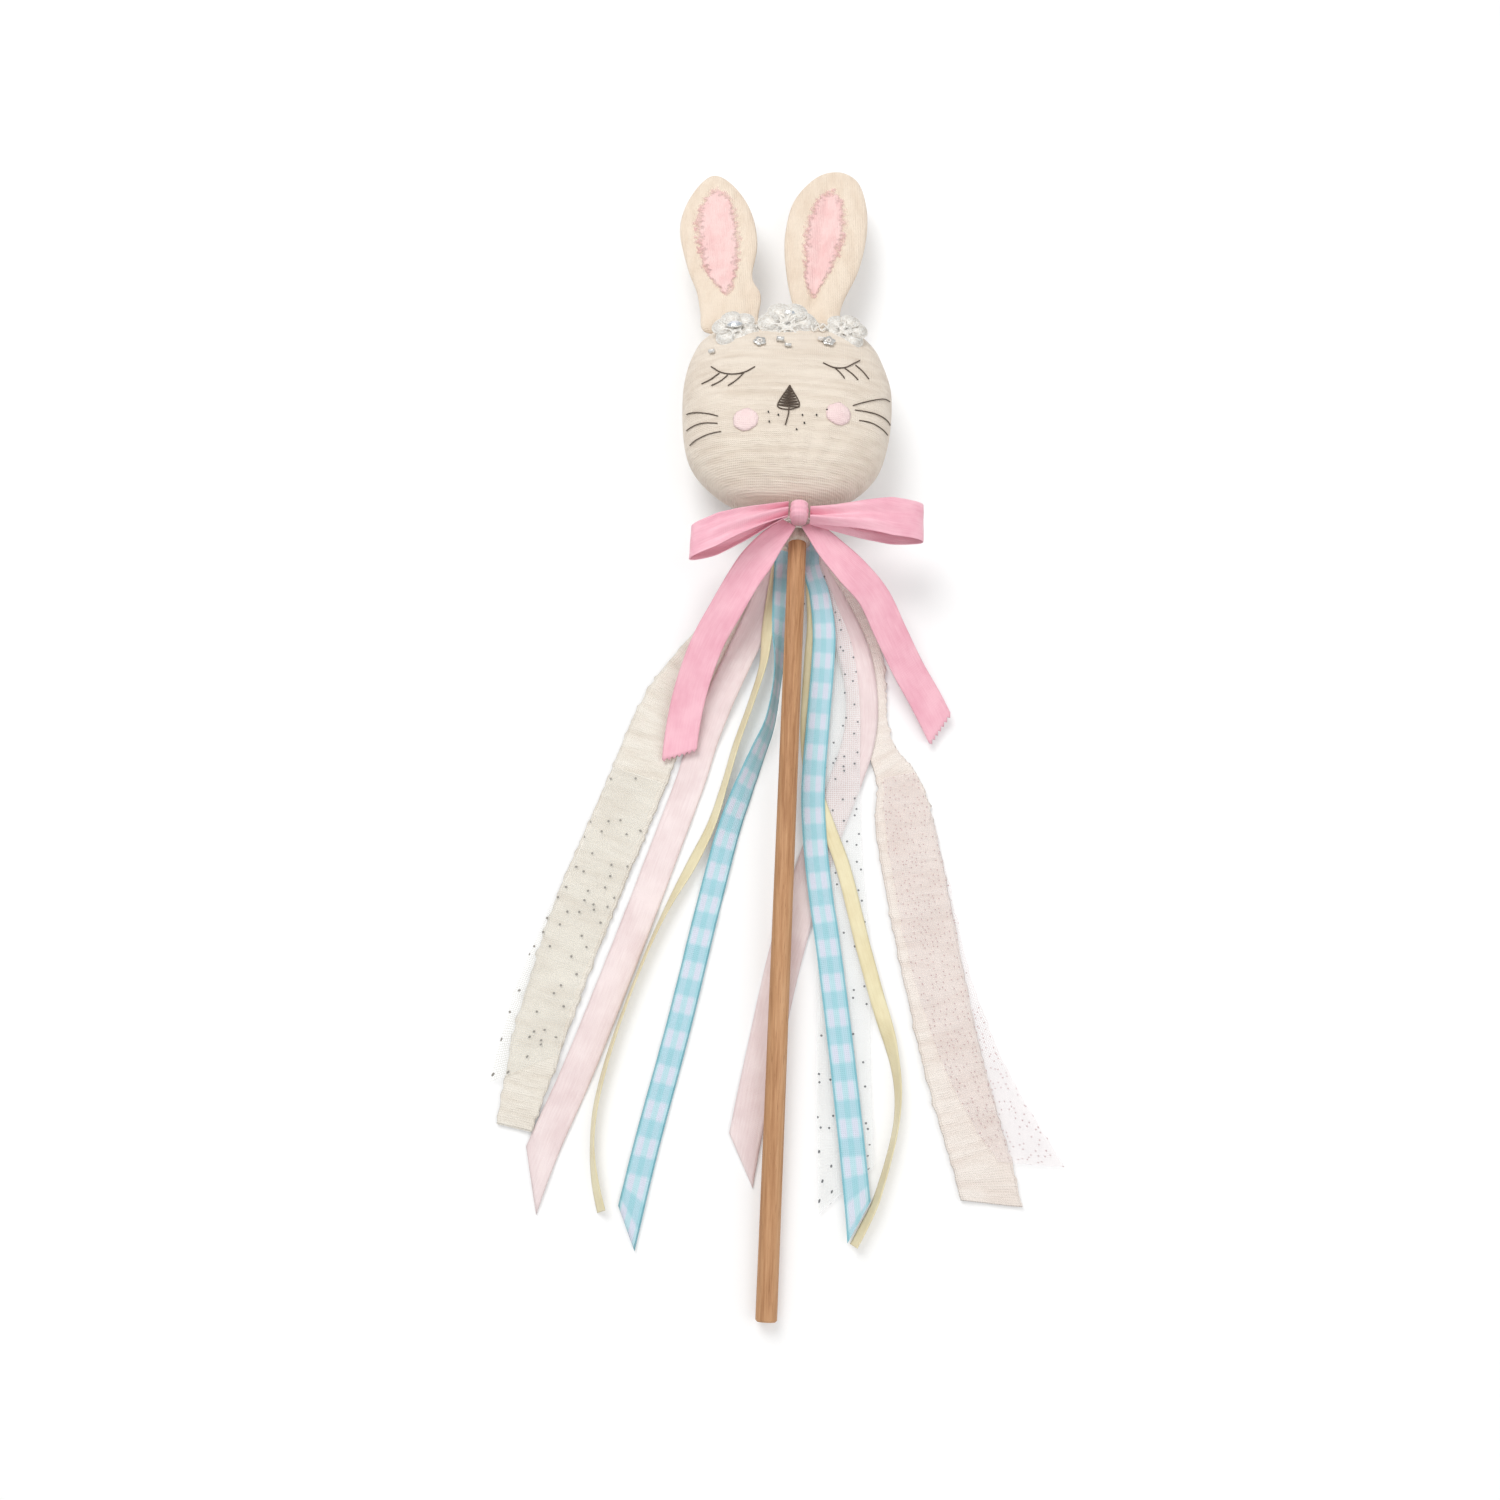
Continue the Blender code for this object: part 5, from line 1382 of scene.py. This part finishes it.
gingham_right_route = [(6, 58, 10.7, 8, 0), (6.4, 44, 10.1, 8, 0), (10.8, 31, 8.2, 9, 0),
                       (13.4, 14, 6.9, 10, 0), (13.4, -2, 5.9, 10, 0), (12.2, -28, 4.3, 10, 0),
                       (11, -58, 3, 10, 0), (12.4, -80, 2.1, 10, 0), (15.4, -103, 2.1, 10, 0),
                       (19, -124, 2.1, 10, 0), (24.5, -160, 2.1, 10, 0), (29.5, -196, 2.1, 10, 0),
                       (33, -224, 2.1, 10, 0), (34.5, -240, 2.1, 10, 0)]
ribbon("blush_strip_middle", blush_mid_route, BLUSH_SATIN, RIBBON_THICK, "wand", "blush_mid_end",
       (-10.9, -203, 0.4), ["blush_mid", "blush_mid_end"], "blush", columns=10, steps=16,
       cut=((-9, -218.5), (-18, -201)), wave=RUMPLE, seed=8.0)
ribbon("muslin_strip_right", muslin_right_route, MUSLIN_PINK, GAUZE_THICK, "wand", "muslin_right",
       (47.1, -50, 1.5), ["muslin_right", "muslin_right_root"], "muslin_pink", columns=14,
       steps=16, cut=((94, -221), (71, -219.5)), ragged=2.2, wave=RUMPLE, curl=0.5, seed=9.0)
ribbon("glitter_upper_right", glitter_right_route, GLITTER_TULLE, TULLE_THICK, "muslin_right", None,
       None, ["glitter_right"], "glitter_tulle", columns=12, steps=12, end_y=-120,
       ragged=2.4, wave=RUMPLE, rise=TULLE_RISE, seed=10.0,
       solid=False)
ribbon("glitter_end_right", glitter_right_route, GLITTER_TULLE, TULLE_THICK, "muslin_right",
       "glitter_right_end", (66.9, -140, 1.5), ["glitter_right_end"], "glitter_tulle",
       columns=12, steps=12, start_y=-120, cut=((114.5, -205.5), (90, -204.5)), ragged=2.4,
       wave=RUMPLE, rise=TULLE_RISE, seed=10.0,
       solid=False)
ribbon("net_strip_right", mesh_right_route, DOT_NET, NET_THICK, "wand", "streamers_right",
       (18, 2, 6.5), ["mesh_right", "mesh_right_root"], "net", columns=16, steps=14,
       cut=((38.7, -209.3), (18.5, -227)), wave=RUMPLE, curl=0.6, seed=11.0,
       solid=False)
ribbon("yellow_upper_right", yellow_right_route, YELLOW_SATIN, RIBBON_THICK, "wand",
       "streamers_right", (8, 2, 6.5), ["yellow_right", "yellow_right_root"], "yellow",
       cord=True, columns=6, steps=14, end_y=-60, wave=RUMPLE)
ribbon("yellow_end_right", yellow_right_route, YELLOW_SATIN, RIBBON_THICK, "streamers_right",
       "yellow_right_end", (29.6, -110, 1.8), ["yellow_right_end"], "yellow", cord=True,
       columns=6, steps=14, start_y=-60, wave=RUMPLE)
ribbon("gingham_upper_right", gingham_right_route, GINGHAM, RIBBON_THICK, "wand", "streamers_right",
       (13.1, 2, 6.5), ["gingham_right", "gingham_right_root"], "gingham", columns=10,
       steps=14, end_y=-60, wave=RUMPLE,
       solid=False)
ribbon("gingham_end_right", gingham_right_route, GINGHAM, RIBBON_THICK, "streamers_right",
       "gingham_right_end", (16.6, -110, 2.5), ["gingham_right_end"], "gingham", columns=10,
       steps=14, start_y=-60, cut=((37.3, -221.6), (28.9, -236.8)), wave=RUMPLE,
       solid=False)

# %% [markdown]
# ## Light
#
# Three large soft lamps and a pale world give an even studio light. The key comes from the
# upper left, so the shadows fall to the lower right, under the head and beside the ribbons.

# %% Light
def lamp(name, place, size, power):
    data = bpy.data.lights.new(name, "AREA")
    data.shape = "SQUARE"
    data.size = size
    data.energy = power
    light = bpy.data.objects.new(name, data)
    bpy.context.scene.collection.objects.link(light)
    light.location = place
    light.rotation_euler = Vector(place).to_track_quat("Z", "Y").to_euler()


lamp("key", (-0.45, 0.60, 1.10), 0.8, 9.5)
lamp("fill", (0.90, -0.20, 1.10), 1.0, 4.0)
lamp("foot", (0.10, -1.10, 0.90), 1.0, 3.0)
WORLD_LIGHT = 0.5
world = bpy.data.worlds.new("studio")
bpy.context.scene.world = world
world.use_nodes = True
world.node_tree.nodes["Background"].inputs["Color"].default_value = (1.0, 1.0, 1.0, 1.0)
world_light = world.node_tree.nodes["Background"]
sight = world.node_tree.nodes.new("ShaderNodeLightPath")
strength = world.node_tree.nodes.new("ShaderNodeMapRange")
strength.inputs["To Min"].default_value = WORLD_LIGHT
strength.inputs["To Max"].default_value = 1.0
world.node_tree.links.new(sight.outputs["Is Camera Ray"], strength.inputs["Value"])
world.node_tree.links.new(strength.outputs[0], world_light.inputs["Strength"])
bpy.context.scene.view_settings.view_transform = "Standard"
